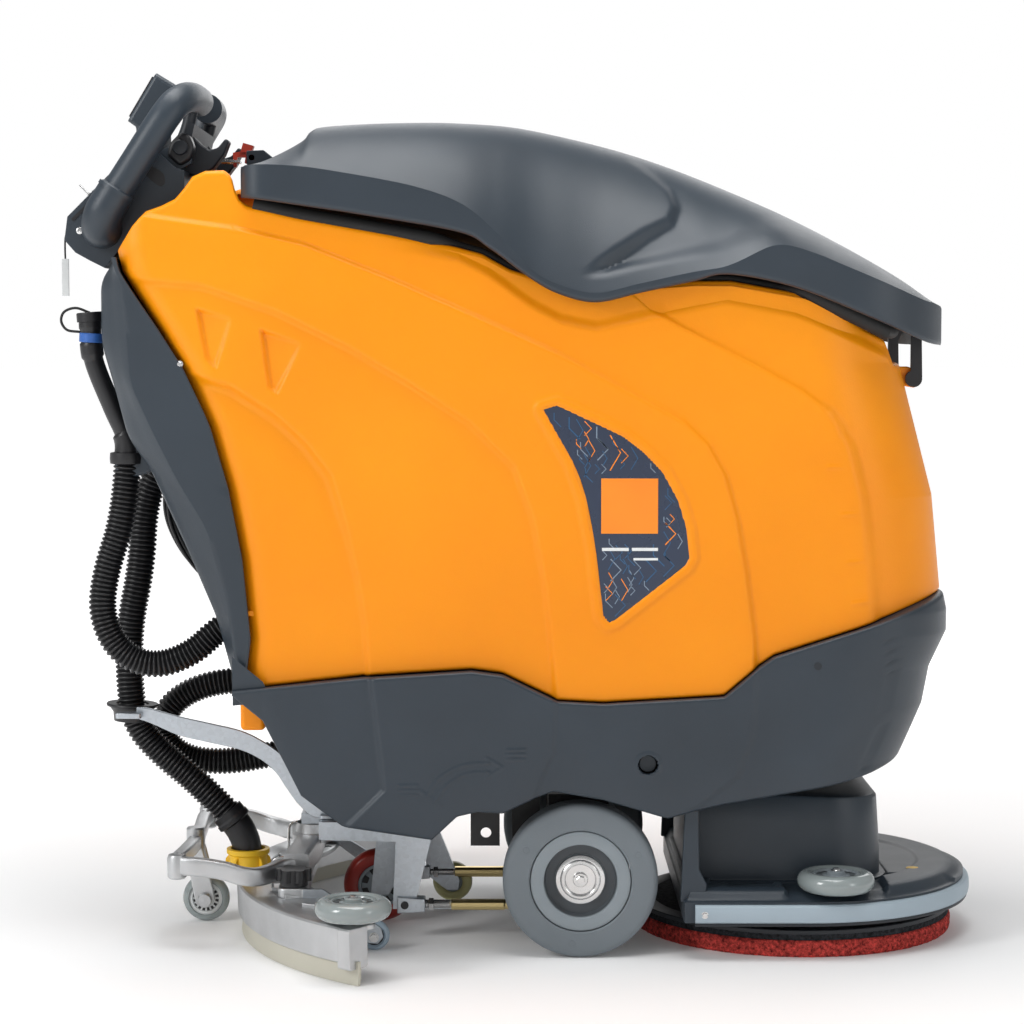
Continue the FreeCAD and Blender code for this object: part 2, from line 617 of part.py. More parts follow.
def deck_housing():
    top = DECK_PLATE_Z + DECK_PLATE_T
    plate = deck_plan(DECK_R, BUMPER_Z, top).cut(deck_plan(DECK_R - 8, BUMPER_Z - 1, DECK_PLATE_Z, 100))
    shift = 12
    hump_low = plan_block(DECK_HUMP_X0, DECK_HUMP_X1, DECK_HUMP_HALF, 60, 20, top - 1, 160)
    hump_high = plan_block(DECK_HUMP_X0, DECK_HUMP_X1 - shift, DECK_HUMP_HALF - shift, 55, 20, 159, DECK_TOP_Z)
    hollow = plan_block(DECK_HUMP_X0 + WALL, DECK_HUMP_X1 - shift - WALL, DECK_HUMP_HALF - shift - WALL, 50,
                        15, top, DECK_TOP_Z - WALL)
    motor_hole = disc(SPINDLE_R + 8, BUMPER_Z, top + 5, DECK_X)
    body = fuse_all([plate, hump_low, hump_high]).cut(hollow).cut(motor_hole)
    sides = []
    for side in (-1, 1):
        y0, y1 = sorted((side * (DECK_R - 20), side * (DECK_R - 12)))
        sides.append(slab([(DECK_REAR_X, top - 2), (DECK_REAR_X + 30, top - 2), (DECK_REAR_X + 26, 150),
                           (DECK_REAR_X + 16, 204), (DECK_REAR_X, 204)], y0, y1))
        sides.append(disc(ROLLER_PIN_R, top - 1, top + ROLLER_H + 4, DECK_ROLLER_X, side * DECK_ROLLER_Y))
    body = fuse_all([body] + sides)
    return body.cut(disc(ACTUATOR_ROD_R + SEAT_GAP, DECK_TOP_Z - WALL - 1, DECK_TOP_Z + 1, ACTUATOR_X,
                         ACTUATOR_Y))


def deck_bumper():
    r0 = DECK_R + SEAT_GAP
    outer = deck_plan(r0 + BUMPER_T, BUMPER_Z, BUMPER_Z + BUMPER_H)
    strip = outer.cut(deck_plan(r0, BUMPER_Z - 1, BUMPER_Z + BUMPER_H + 1))
    reach = DECK_R + BUMPER_T + 1
    return strip.common(box(DECK_REAR_X + 14, DECK_X + reach, -reach, reach, BUMPER_Z, BUMPER_Z + BUMPER_H))


def brush_motor():
    low = DECK_PLATE_Z + DECK_PLATE_T + SEAT_GAP
    motor = fuse_all([disc(62, low, low + 110, DECK_X), disc(78, low, low + 8, DECK_X)])
    return motor.cut(disc(SPINDLE_R + RUN_FIT, low - 1, low + 50, DECK_X))


def pad_holder():
    low = PAD_T + SEAT_GAP
    holder = disc(HOLDER_R, low, low + HOLDER_T, DECK_X)
    hub = disc(34, low, low + HOLDER_T + 12, DECK_X)
    spindle = disc(SPINDLE_R, low, DECK_PLATE_Z + DECK_PLATE_T + 46, DECK_X)
    return fuse_all([holder, hub, spindle])


def floor_pad():
    pad = disc(PAD_R, 0, PAD_T, DECK_X)
    return pad.cut(disc(38, -1, PAD_T + 1, DECK_X))


def roller(x, y, r, z0, height):
    wheel_body = disc(r, z0, z0 + height, x, y)
    wheel_body = wheel_body.makeFillet(8, [e for e in wheel_body.Edges if e.Length > 5 * r
                                           and abs(e.BoundBox.ZMax - e.BoundBox.ZMin) < 1])
    return wheel_body.cut(disc(ROLLER_PIN_R + RUN_FIT, z0 - 1, z0 + height + 1, x, y))


def deck_actuator():
    bottom = DECK_TOP_Z + DECK_LIFT + 7
    case = disc(22, bottom, 372, ACTUATOR_X, ACTUATOR_Y)
    flange = disc(34, FRONT_PAN_Z + PAN_T + SEAT_GAP, FRONT_PAN_Z + PAN_T + 8, ACTUATOR_X, ACTUATOR_Y)
    motor = disc(20, FRONT_PAN_Z + PAN_T + 4, 372, ACTUATOR_X + 50, ACTUATOR_Y)
    link = box(ACTUATOR_X, ACTUATOR_X + 50, ACTUATOR_Y - 15, ACTUATOR_Y + 15, 350, 372)
    whole = fuse_all([case, flange, motor, link])
    return whole.cut(disc(ACTUATOR_ROD_R + RUN_FIT, bottom - 1, 371, ACTUATOR_X, ACTUATOR_Y))


def actuator_rod():
    rod = disc(ACTUATOR_ROD_R, DECK_TOP_Z - WALL - 6, DECK_TOP_Z + 98, ACTUATOR_X, ACTUATOR_Y)
    nut = disc(13, DECK_TOP_Z - WALL - 6, DECK_TOP_Z - WALL - SEAT_GAP, ACTUATOR_X, ACTUATOR_Y)
    washer = disc(13, DECK_TOP_Z + SEAT_GAP, DECK_TOP_Z + 5, ACTUATOR_X, ACTUATOR_Y)
    return fuse_all([rod, nut, washer])


# ---------------------------------------------------------------- rear caster
def caster_fork():
    crown_z = CASTER_HEAD_Z - SEAT_GAP
    half = CASTER_W / 2 + 2
    wheel_x = CASTER_PIVOT_X - CASTER_TRAIL
    crown = box(wheel_x - 4, CASTER_PIVOT_X + 22, -half - 5, half + 5, crown_z - 12, crown_z)
    pin = disc(CASTER_PIN_R, crown_z - 2, CASTER_PIN_TOP_Z, CASTER_PIVOT_X)
    pieces = [crown, pin, rod_y(6, -half - 5, half + 5, wheel_x, CASTER_R)]
    for side in (-1, 1):
        y0, y1 = sorted((side * half, side * (half + 5)))
        pieces.append(slab([(wheel_x - 12, CASTER_R - 10), (wheel_x + 12, CASTER_R - 10),
                            (CASTER_PIVOT_X + 22, crown_z - 4), (wheel_x - 4, crown_z - 4)], y0, y1))
    return fuse_all(pieces)


def caster_wheel():
    x = CASTER_PIVOT_X - CASTER_TRAIL
    body = rod_y(CASTER_R, -CASTER_W / 2, CASTER_W / 2, x, CASTER_R)
    body = body.makeFillet(6, [e for e in body.Edges if e.Length > 5 * CASTER_R
                               and abs(e.BoundBox.YMax - e.BoundBox.YMin) < 1])
    return body.cut(rod_y(6 + RUN_FIT, -CASTER_W, CASTER_W, x, CASTER_R))


# ---------------------------------------------------------------- squeegee
def tow_frame():
    pieces = []
    for side in (-1, 1):
        y0, y1 = sorted((side * (TOW_Y - TOW_T / 2), side * (TOW_Y + TOW_T / 2)))
        pieces.append(slab([(-246, 40), (-218, 40), (-196, 130), (-196, 156), (-340, 156), (-340, 132),
                            (-242, 130)], y0, y1))
        eye = rod_y(13, y0, y1, TOW_X, TOW_Z)
        rod = box(-230, TOW_X, y0, y1, TOW_Z - 5, TOW_Z + 5)
        pieces += [eye, rod]
    pieces.append(box(-344, -322, -TOW_Y, TOW_Y, 132, 156))
    pieces.append(box(-374, -340, -20, 20, 137, 151))
    y0 = TOW_Y + TOW_T / 2 - 1
    pieces.append(slab([(-214, 92), (-196, 118), (GUIDE_X + 10, GUIDE_R + 6), (GUIDE_X + 8, GUIDE_R - 8),
                        (GUIDE_X - 8, GUIDE_R - 8), (-206, 40)], TOW_Y - 4, y0 + 4))
    pieces.append(rod_y(5, y0, y0 + GUIDE_W + 8, GUIDE_X, GUIDE_R))
    frame = fuse_all(pieces)
    for side in (-1, 1):
        y0, y1 = sorted((side * (TOW_Y - TOW_T), side * (TOW_Y + TOW_T)))
        frame = frame.cut(rod_y(TOW_PIN_R + RUN_FIT, y0, y1, TOW_X, TOW_Z))
    return frame.cut(disc(SWING_R + RUN_FIT, 130, 160, SWING_X))


def guide_wheel():
    y0 = TOW_Y + 8.5
    body = rod_y(GUIDE_R, y0, y0 + GUIDE_W, GUIDE_X, GUIDE_R)
    body = body.makeFillet(3, [e for e in body.Edges if e.Length > 5 * GUIDE_R
                               and abs(e.BoundBox.YMax - e.BoundBox.YMin) < 1])
    return body.cut(rod_y(5 + RUN_FIT, y0 - 1, y0 + GUIDE_W + 1, GUIDE_X, GUIDE_R))


def hose_arm():
    upper = [(-326, 168), (-349, 171), (-364, 213), (-390, 240), (-448, 272), (-528, 290), (-590, 303)]
    lower = [(-590, 288), (-526, 274), (-446, 256), (-396, 224), (-366, 196), (-344, 156.5), (-326, 156.5)]
    bar = slab(upper + lower, ARM_Y - ARM_T / 2, ARM_Y + ARM_T / 2)
    foot = box(-344, -322, ARM_Y - 16, ARM_Y + 16, 156.4, 161)
    ring_x = -600.5
    ring_y = SUCTION_ROUTE[3][1]
    hole = disc(SUCTION_HOSE_R + 3.5, 280, 310, ring_x, ring_y)
    plate = box(-614, -586, ARM_Y - 2, ring_y, 292, 298)
    ring = disc(SUCTION_HOSE_R + 10, 291, 299, ring_x, ring_y)
    return fuse_all([bar, foot, fuse_all([plate, ring]).cut(hole)])


def squeegee_carrier():
    top = SQUEEGEE_TOP_Z + SEAT_GAP
    pieces = [box(-392, -350, -RAIL_Y - 7, RAIL_Y + 7, top, 122),
              box(-390, -355, -KNOB_Y - 24, KNOB_Y + 24, top, 84),
              box(-530, -510, -RAIL_Y - 7, RAIL_Y + 7, 100, 122),
              disc(14, 121, 136.6, SWING_X), disc(SWING_R, 121, 158, SWING_X)]
    for side in (-1, 1):
        y0, y1 = sorted((side * (RAIL_Y - 7), side * (RAIL_Y + 7)))
        pieces.append(box(-530, -380, y0, y1, 100, 122))
        half = REAR_WHEEL_W / 2 + 1.5
        y0, y1 = sorted((side * half, side * (half + 5)))
        pieces.append(slab([(-530, 104), (-510, 104), (REAR_WHEEL_X + 10, REAR_WHEEL_R),
                            (REAR_WHEEL_X + 6, REAR_WHEEL_R - 9), (REAR_WHEEL_X - 6, REAR_WHEEL_R - 9),
                            (REAR_WHEEL_X - 14, REAR_WHEEL_R + 6)], y0, y1))
        arm_y = SUPPORT_Y + SUPPORT_W / 2 + 1.5
        y0, y1 = sorted((side * arm_y, side * (arm_y + 6)))
        pieces.append(slab([(-385, 72), (-385, 84), (-334, 84), (-258, 32), (-257, 12), (-276, 12),
                            (-342, 72)], y0, y1))
        y0, y1 = sorted((side * (SUPPORT_Y - SUPPORT_W / 2 - 1), side * (arm_y + 2)))
        pieces.append(rod_y(4, y0, y1, SUPPORT_X, SUPPORT_R))
    pieces.append(rod_y(5, -REAR_WHEEL_W / 2 - 5, REAR_WHEEL_W / 2 + 5, REAR_WHEEL_X, REAR_WHEEL_R))
    carrier = fuse_all(pieces)
    for side in (-1, 1):
        carrier = carrier.cut(disc(KNOB_STUD_R + RUN_FIT, 60, 90, KNOB_X, side * KNOB_Y))
    return carrier


def squeegee_body():
    half = SQUEEGEE_WEB_T / 2
    web = sector(SQUEEGEE_R - half, SQUEEGEE_R + half, SQUEEGEE_DEG, 24, SQUEEGEE_TOP_Z)
    plate = sector(SQUEEGEE_R - half - 8, SQUEEGEE_R + half + 8, SQUEEGEE_DEG, 61, SQUEEGEE_TOP_Z)
    pieces = [web, plate]
    for side in (-1, 1):
        y0, y1 = sorted((side * (KNOB_Y - 20), side * (KNOB_Y + 20)))
        pieces.append(box(-425, -350, y0, y1, 61, SQUEEGEE_TOP_Z))
        cx, cy = SQ_ROLLER_X, side * SQ_ROLLER_Y
        pieces.append(disc(20, 61, SQUEEGEE_TOP_Z + 8, cx, cy))
        y0, y1 = sorted((cy - side * 20, cy + side * 8))
        pieces.append(box(cx - 34, cx, y0, y1, 61, SQUEEGEE_TOP_Z))
        pieces.append(disc(ROLLER_PIN_R, SQUEEGEE_TOP_Z, 108, cx, cy))
    body = fuse_all(pieces)
    body = body.cut(disc(14, 20, 80, PORT_X, PORT_Y))
    for side in (-1, 1):
        body = body.cut(disc(KNOB_STUD_R + RUN_FIT, 50, 90, KNOB_X, side * KNOB_Y))
    return body


def squeegee_blades():
    front = SQUEEGEE_R - SQUEEGEE_WEB_T / 2 - SEAT_GAP
    rear = SQUEEGEE_R + SQUEEGEE_WEB_T / 2 + SEAT_GAP
    return Part.makeCompound([sector(front - BLADE_T, front, SQUEEGEE_DEG, 0, 60.6),
                              sector(rear, rear + BLADE_T, SQUEEGEE_DEG, 0, 60.6)])


def suction_coupling():
    low = SQUEEGEE_TOP_Z + SEAT_GAP
    flange = disc(21, low, low + 6, PORT_X, PORT_Y)
    skirt = disc(17, low, 108, PORT_X, PORT_Y)
    elbow = tube([(PORT_X, PORT_Y, 100), (PORT_X, PORT_Y, 125), (-470, -25, 150)], 17.5)
    whole = fuse_all([flange, skirt, elbow])
    return whole.cut(disc(12, low - 1, 100, PORT_X, PORT_Y))


def star_knob():
    low = 84 + SEAT_GAP
    knob = disc(KNOB_R - 5, low, low + 22, KNOB_X, -KNOB_Y)
    lobes = []
    for k in range(6):
        a = math.radians(60 * k)
        lobes.append(disc(6.5, low + 6, low + 22, KNOB_X + (KNOB_R - 6.5) * math.cos(a),
                          -KNOB_Y + (KNOB_R - 6.5) * math.sin(a)))
    stud = disc(KNOB_STUD_R, 58, low + 4, KNOB_X, -KNOB_Y)
    return fuse_all([knob, stud] + lobes)


def squeegee_rear_wheel():
    body = rod_y(REAR_WHEEL_R, -REAR_WHEEL_W / 2, REAR_WHEEL_W / 2, REAR_WHEEL_X, REAR_WHEEL_R)
    body = body.makeFillet(6, [e for e in body.Edges if e.Length > 5 * REAR_WHEEL_R
                               and abs(e.BoundBox.YMax - e.BoundBox.YMin) < 1])
    return body.cut(rod_y(5 + RUN_FIT, -40, 40, REAR_WHEEL_X, REAR_WHEEL_R))


def support_wheel():
    y = -SUPPORT_Y
    body = rod_y(SUPPORT_R, y - SUPPORT_W / 2, y + SUPPORT_W / 2, SUPPORT_X, SUPPORT_R)
    return body.cut(rod_y(4 + RUN_FIT, y - 20, y + 20, SUPPORT_X, SUPPORT_R))


# ---------------------------------------------------------------- small pieces
def body_screws():
    screws = []
    for side in (-1, 1):
        y0 = side * SKIRT_HALF
        for x, z in ((-250, 330), (-60, 300), (150, 300), (300, 380)):
            a, b = sorted((y0 + side * SEAT_GAP, y0 + side * 3))
            screws.append(rod_y(5, a, b, x, z))
    return Part.makeCompound(screws)


def key_tag():
    return box(-673, -664, -119.5, -116.5, 850, 898)


def build():
    keep("chassis_frame", chassis_frame())
    keep("base_skirt", base_skirt())
    keep("front_cover", front_cover())
    keep("solution_tank", solution_tank())
    keep("recovery_tank", recovery_tank())
    keep("lid_seal", lid_seal())
    keep("rear_panel", rear_panel())
    keep("battery_pack", battery_pack())
    keep("suction_motor", suction_motor())
    keep("drive_unit", drive_unit())
    keep("deck_actuator", deck_actuator())
    keep("body_screws", body_screws())
    tyre, rim, cap = wheel()
    keep_pair("tyre", tyre)
    keep_pair("rim", rim)
    keep_pair("hub_cap", cap)
    keep("hood_shell", hood_shell())
    keep("hood_hinge_straps", hood_hinge_straps())
    keep("hood_hook", hood_hook())
    keep("lock_bar", lock_bar())
    console = console_bores(console_housing())
    button = dash_rod(BUTTON_R, 0.7, -60, 4, 4)
    key = fuse_all([dash_rod(KEY_R, 0.35, -118, 4, 5), dash_rod(2, 0.35, -118, 4, 22)])
    console = console.cut(dash_rod(BUTTON_R + RUN_FIT, 0.7, -60, 10, 10))
    console = console.cut(dash_rod(KEY_R + RUN_FIT, 0.35, -118, 10, 10))
    keep("console_housing", console)
    keep("start_button", button)
    keep("key_switch", key)
    keep("display_unit", display_unit())
    keep("handlebar", handlebar())
    keep("drive_paddle", drive_paddle())
    keep("key_tether", tube(TETHER_ROUTE, TETHER_R, "key_tether"))
    keep("key_tag", key_tag())
    keep("drain_hose_end", drain_hose_end())
    keep("drain_cap", drain_cap())
    keep("drain_hose", tube(DRAIN_ROUTE, DRAIN_HOSE_R, "drain_hose"))
    keep("suction_hose", tube(SUCTION_ROUTE, SUCTION_HOSE_R, "suction_hose"))
    keep("vacuum_hose", tube(VACUUM_ROUTE, VACUUM_HOSE_R, "vacuum_hose"))
    keep("cable_bundle", tube(CABLE_ROUTE, CABLE_R, "cable_bundle"))
    keep("deck_housing", deck_housing())
    keep("deck_bumper", deck_bumper())
    keep("brush_motor", brush_motor())
    keep("actuator_rod", actuator_rod())
    keep("pad_holder", pad_holder())
    keep("floor_pad", floor_pad())
    low = DECK_PLATE_Z + DECK_PLATE_T + SEAT_GAP
    keep_pair("deck_roller", roller(DECK_ROLLER_X, -DECK_ROLLER_Y, ROLLER_R, low, ROLLER_H))
    keep("caster_fork", caster_fork())
    keep("caster_wheel", caster_wheel())
    keep("tow_frame", tow_frame())
    keep("hose_arm", hose_arm())
    keep("guide_wheel", guide_wheel())
    keep("squeegee_carrier", squeegee_carrier())
    keep("squeegee_body", squeegee_body())
    keep("squeegee_blades", squeegee_blades())
    keep("suction_coupling", suction_coupling())
    keep_pair("star_knob", star_knob())
    low = SQUEEGEE_TOP_Z + 8 + SEAT_GAP
    keep_pair("squeegee_roller", roller(SQ_ROLLER_X, -SQ_ROLLER_Y, SQ_ROLLER_R, low, ROLLER_H))
    keep("squeegee_rear_wheel", squeegee_rear_wheel())
    keep_pair("support_wheel", support_wheel())


build()
for name, shape in parts.items():
    shape.exportStep("parts/" + name + ".step")
    if not shape.isValid() or len(shape.Solids) == 0:
        print("CHECK", name, shape.isValid(), len(shape.Solids))
print(len(parts), "nodes")
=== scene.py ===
import math
import random

import bmesh
import bpy
import numpy as np
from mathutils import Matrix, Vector


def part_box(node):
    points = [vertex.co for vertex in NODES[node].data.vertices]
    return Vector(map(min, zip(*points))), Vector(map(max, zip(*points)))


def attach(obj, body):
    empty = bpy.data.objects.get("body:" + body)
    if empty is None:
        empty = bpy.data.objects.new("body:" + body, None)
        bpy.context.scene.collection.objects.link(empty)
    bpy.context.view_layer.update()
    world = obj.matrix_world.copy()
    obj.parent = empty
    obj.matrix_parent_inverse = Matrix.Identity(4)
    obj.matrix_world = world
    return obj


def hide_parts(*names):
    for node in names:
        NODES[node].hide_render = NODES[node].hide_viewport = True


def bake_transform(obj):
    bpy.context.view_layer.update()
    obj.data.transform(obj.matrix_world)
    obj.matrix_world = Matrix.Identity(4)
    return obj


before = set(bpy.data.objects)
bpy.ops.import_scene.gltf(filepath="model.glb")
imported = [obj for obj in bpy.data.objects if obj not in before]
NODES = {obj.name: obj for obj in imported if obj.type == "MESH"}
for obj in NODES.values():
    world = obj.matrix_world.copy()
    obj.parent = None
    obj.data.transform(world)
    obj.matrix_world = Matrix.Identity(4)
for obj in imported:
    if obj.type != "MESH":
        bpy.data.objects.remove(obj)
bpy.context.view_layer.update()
random.seed(7)
MM = 0.001
TURN = 2 * math.pi
UP = (0, 0, 1)
SIDES = ((-1, "right"), (1, "left"))    # sign of Y, and name, of each side of the machine

# ------------------------------------------------------------------ camera
CAMERA_AT = (-0.088, -3.46, 0.796)
CAMERA_PITCH = 3.9          # degrees below the horizon
CAMERA_LENS = 90.0

camera_data = bpy.data.cameras.new("camera")
camera_data.lens = CAMERA_LENS
camera = bpy.data.objects.new("camera", camera_data)
camera.location = CAMERA_AT
camera.rotation_euler = (math.radians(90 - CAMERA_PITCH), 0, 0)
bpy.context.scene.collection.objects.link(camera)
bpy.context.scene.camera = camera


# ------------------------------------------------------------------ materials
def new_material(name, rough, metallic=0.0, coat=0.0, specular=0.5, transmission=0.0, ior=1.5):
    """A material, its node tree and its shader, with the values that are the same all over."""
    m = bpy.data.materials.new(name)
    m.use_nodes = True
    shader = m.node_tree.nodes["Principled BSDF"]
    shader.inputs["Roughness"].default_value = rough
    shader.inputs["Metallic"].default_value = metallic
    shader.inputs["Coat Weight"].default_value = coat
    shader.inputs["Specular IOR Level"].default_value = specular
    shader.inputs["Transmission Weight"].default_value = transmission
    shader.inputs["IOR"].default_value = ior
    return m, m.node_tree, shader


def coords(tree):
    """Coordinates in the machine's frame, in metres."""
    return tree.nodes.new("ShaderNodeTexCoord").outputs["Object"]


def noise(tree, scale, detail=3.0, rough=0.5):
    """A noise texture, from 0 to 1."""
    node = tree.nodes.new("ShaderNodeTexNoise")
    node.inputs["Scale"].default_value = scale
    node.inputs["Detail"].default_value = detail
    node.inputs["Roughness"].default_value = rough
    tree.links.new(coords(tree), node.inputs["Vector"])
    return node.outputs["Fac"]


def ramp(tree, fac, stops):
    """A colour for each value, between stops of (value, colour)."""
    node = tree.nodes.new("ShaderNodeValToRGB")
    while len(node.color_ramp.elements) < len(stops):
        node.color_ramp.elements.new(0.5)
    for element, (at, colour) in zip(node.color_ramp.elements, stops):
        element.position = at
        element.color = (*colour, 1)
    tree.links.new(fac, node.inputs["Fac"])
    return node.outputs["Color"]


def scaled(tree, fac, low, high):
    """A value from 0 to 1 taken to between low and high."""
    node = tree.nodes.new("ShaderNodeMapRange")
    node.inputs["To Min"].default_value = low
    node.inputs["To Max"].default_value = high
    tree.links.new(fac, node.inputs["Value"])
    return node.outputs["Result"]


def bump(tree, shader, fac, height):
    """Add relief of a height in metres to what the shader has already."""
    node = tree.nodes.new("ShaderNodeBump")
    node.inputs["Distance"].default_value = height
    tree.links.new(fac, node.inputs["Height"])
    previous = shader.inputs["Normal"]
    if previous.is_linked:
        tree.links.new(previous.links[0].from_socket, node.inputs["Normal"])
    tree.links.new(node.outputs["Normal"], previous)


def shade(colour, k):
    """The colour made k times as bright."""
    return tuple(min(1.0, c * k) for c in colour)


def moulded(name, colour, rough, grain, height, vary=0.12, coat=0.0, rough_swing=0.06):
    """Moulded plastic or rubber: a fine grain, slow colour drift and uneven gloss."""
    m, tree, shader = new_material(name, rough, coat=coat)
    drift = noise(tree, 6.0, 4.0)
    tint = ramp(tree, drift, [(0.3, shade(colour, 1 - vary)), (0.7, shade(colour, 1 + vary))])
    tree.links.new(tint, shader.inputs["Base Color"])
    gloss = scaled(tree, noise(tree, 22.0, 5.0), rough - rough_swing, rough + rough_swing)
    tree.links.new(gloss, shader.inputs["Roughness"])
    bump(tree, shader, noise(tree, grain, 4.0, 0.6), height)
    return m


def cast_metal(name, colour, rough, grain, height):
    """Metal with slow drift in colour and gloss, and a fine grain."""
    m, tree, shader = new_material(name, rough, metallic=1.0)
    drift = noise(tree, 14.0, 5.0)
    tint = ramp(tree, drift, [(0.25, shade(colour, 0.82)), (0.75, shade(colour, 1.08))])
    tree.links.new(tint, shader.inputs["Base Color"])
    gloss = scaled(tree, noise(tree, 110.0, 4.0), rough - 0.05, rough + 0.06)
    tree.links.new(gloss, shader.inputs["Roughness"])
    bump(tree, shader, noise(tree, grain, 5.0, 0.65), height)
    return m


def zinc_sheet(name, colour, rough):
    """Galvanised sheet: crystals of slightly different grey, and rolling streaks."""
    m, tree, shader = new_material(name, rough, metallic=1.0)
    cells = tree.nodes.new("ShaderNodeTexVoronoi")
    cells.inputs["Scale"].default_value = 210.0
    tree.links.new(coords(tree), cells.inputs["Vector"])
    spangle = tree.nodes.new("ShaderNodeRGBToBW")
    tree.links.new(cells.outputs["Color"], spangle.inputs["Color"])
    tint = ramp(tree, spangle.outputs["Val"], [(0.1, shade(colour, 0.9)), (0.9, shade(colour, 1.05))])
    tree.links.new(tint, shader.inputs["Base Color"])
    gloss = scaled(tree, spangle.outputs["Val"], rough - 0.04, rough + 0.06)
    tree.links.new(gloss, shader.inputs["Roughness"])
    bump(tree, shader, noise(tree, 260.0, 3.0), 0.00005)
    return m


def clear_plastic(name, colour, rough, transmission):
    """A tinted plastic that lets some light through."""
    m, tree, shader = new_material(name, rough, transmission=transmission, ior=1.45)
    drift = noise(tree, 40.0, 3.0)
    tint = ramp(tree, drift, [(0.3, shade(colour, 0.9)), (0.7, colour)])
    tree.links.new(tint, shader.inputs["Base Color"])
    bump(tree, shader, noise(tree, 300.0, 3.0), 0.00006)
    return m


def orange_tank():
    """Rotationally moulded polyethylene: satin, with orange peel and a soft inner glow."""
    m, tree, shader = new_material("tank_orange", 0.42, specular=0.32)
    drift = noise(tree, 3.0, 4.0)
    tint = ramp(tree, drift, [(0.3, (0.9, 0.275, 0.0008)), (0.7, (0.97, 0.318, 0.0015))])
    tree.links.new(tint, shader.inputs["Base Color"])
    shader.inputs["Subsurface Weight"].default_value = 0.12
    shader.inputs["Subsurface Radius"].default_value = (0.02, 0.008, 0.002)
    shader.inputs["Subsurface Scale"].default_value = 0.4
    gloss = scaled(tree, noise(tree, 30.0, 4.0), 0.36, 0.46)
    tree.links.new(gloss, shader.inputs["Roughness"])
    bump(tree, shader, noise(tree, 420.0, 3.0, 0.6), 0.00018)
    bump(tree, shader, noise(tree, 45.0, 3.0, 0.5), 0.00025)
    return m


ORANGE = orange_tank()
SLATE = moulded("slate_plastic", (0.024, 0.035, 0.048), 0.4, 900.0, 0.00022)
SLATE_DARK = moulded("slate_dark", (0.014, 0.018, 0.024), 0.46, 700.0, 0.00018)
BLACK = moulded("black_plastic", (0.012, 0.012, 0.014), 0.38, 500.0, 0.00012)
RUBBER = moulded("black_rubber", (0.014, 0.014, 0.015), 0.62, 350.0, 0.0002)
HOSE = moulded("hose_black", (0.008, 0.008, 0.009), 0.34, 400.0, 0.0001)
TYRE = moulded("tyre_grey", (0.16, 0.185, 0.205), 0.6, 500.0, 0.0002, vary=0.1)
RIM = moulded("rim_grey", (0.24, 0.275, 0.3), 0.5, 700.0, 0.00012, vary=0.08)
# painted shade: a darker grey for the ring laid in each wheel rim's dish
RIM_DISH_SHADE = moulded("rim_dish_painted_shade", (0.075, 0.085, 0.095), 0.55, 600.0, 0.00012)
BUMPER = moulded("bumper_grey", (0.36, 0.44, 0.5), 0.5, 600.0, 0.0001, vary=0.06)
RED = moulded("red_polyurethane", (0.32, 0.02, 0.012), 0.35, 300.0, 0.0001)
RED_TRIM = moulded("red_trim", (0.55, 0.045, 0.02), 0.4, 400.0, 0.0001)
BLUE = moulded("blue_ring", (0.03, 0.12, 0.42), 0.4, 400.0, 0.0001)
YELLOW = moulded("yellow_plastic", (0.85, 0.52, 0.02), 0.42, 400.0, 0.0001)
WHITE = moulded("white_plastic", (0.72, 0.74, 0.74), 0.4, 400.0, 0.00008)
BLADE = moulded("blade_rubber", (0.58, 0.56, 0.47), 0.5, 300.0, 0.00012, vary=0.05)
CAST = cast_metal("cast_aluminium", (0.62, 0.63, 0.64), 0.42, 500.0, 0.00035)
STEEL = cast_metal("bright_steel", (0.7, 0.7, 0.7), 0.24, 300.0, 0.00006)
ZINC = zinc_sheet("zinc_sheet", (0.52, 0.56, 0.6), 0.38)
YELLOW_ZINC = cast_metal("yellow_zinc", (0.78, 0.62, 0.3), 0.3, 300.0, 0.00008)
OLIVE = clear_plastic("olive_polyurethane", (0.48, 0.46, 0.22), 0.3, 0.35)
SCREEN = moulded("screen_glass", (0.01, 0.012, 0.016), 0.12, 200.0, 0.00002, coat=1.0, rough_swing=0.04)


# ------------------------------------------------------------------ mesh helpers
def add_mesh(name, verts, faces, material, body, smooth=True, angle=40):
    """A new piece with edges sharper than angle left crisp. It rides on body, or on none yet where that is None."""
    mesh = bpy.data.meshes.new(name)
    mesh.from_pydata([tuple(v) for v in verts], [], [tuple(f) for f in faces])
    mesh.update()
    bm = bmesh.new()
    bm.from_mesh(mesh)
    bmesh.ops.remove_doubles(bm, verts=bm.verts, dist=1e-6)
    bmesh.ops.recalc_face_normals(bm, faces=bm.faces)
    bm.to_mesh(mesh)
    bm.free()
    if smooth:
        mesh.shade_smooth()
        mesh.set_sharp_from_angle(angle=math.radians(angle))
    mesh.materials.append(material)
    obj = bpy.data.objects.new(name, mesh)
    bpy.context.scene.collection.objects.link(obj)
    if body:
        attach(obj, body)
    return obj


def bevelled(obj, width, segments=3, angle=30):
    """Round the edges of obj that are sharper than angle."""
    mod = obj.modifiers.new("bevel", "BEVEL")
    mod.width = width
    mod.segments = segments
    mod.limit_method = "ANGLE"
    mod.angle_limit = math.radians(angle)
    mod.harden_normals = False
    return obj


def grid_faces(nu, nv, closed=False, start=0):
    """Quads of a grid of nu columns by nv rows, stored column by column."""
    faces = []
    for i in range(nu if closed else nu - 1):
        a = start + i * nv
        b = start + ((i + 1) % nu) * nv
        for j in range(nv - 1):
            faces.append((a + j, b + j, b + j + 1, a + j + 1))
    return faces


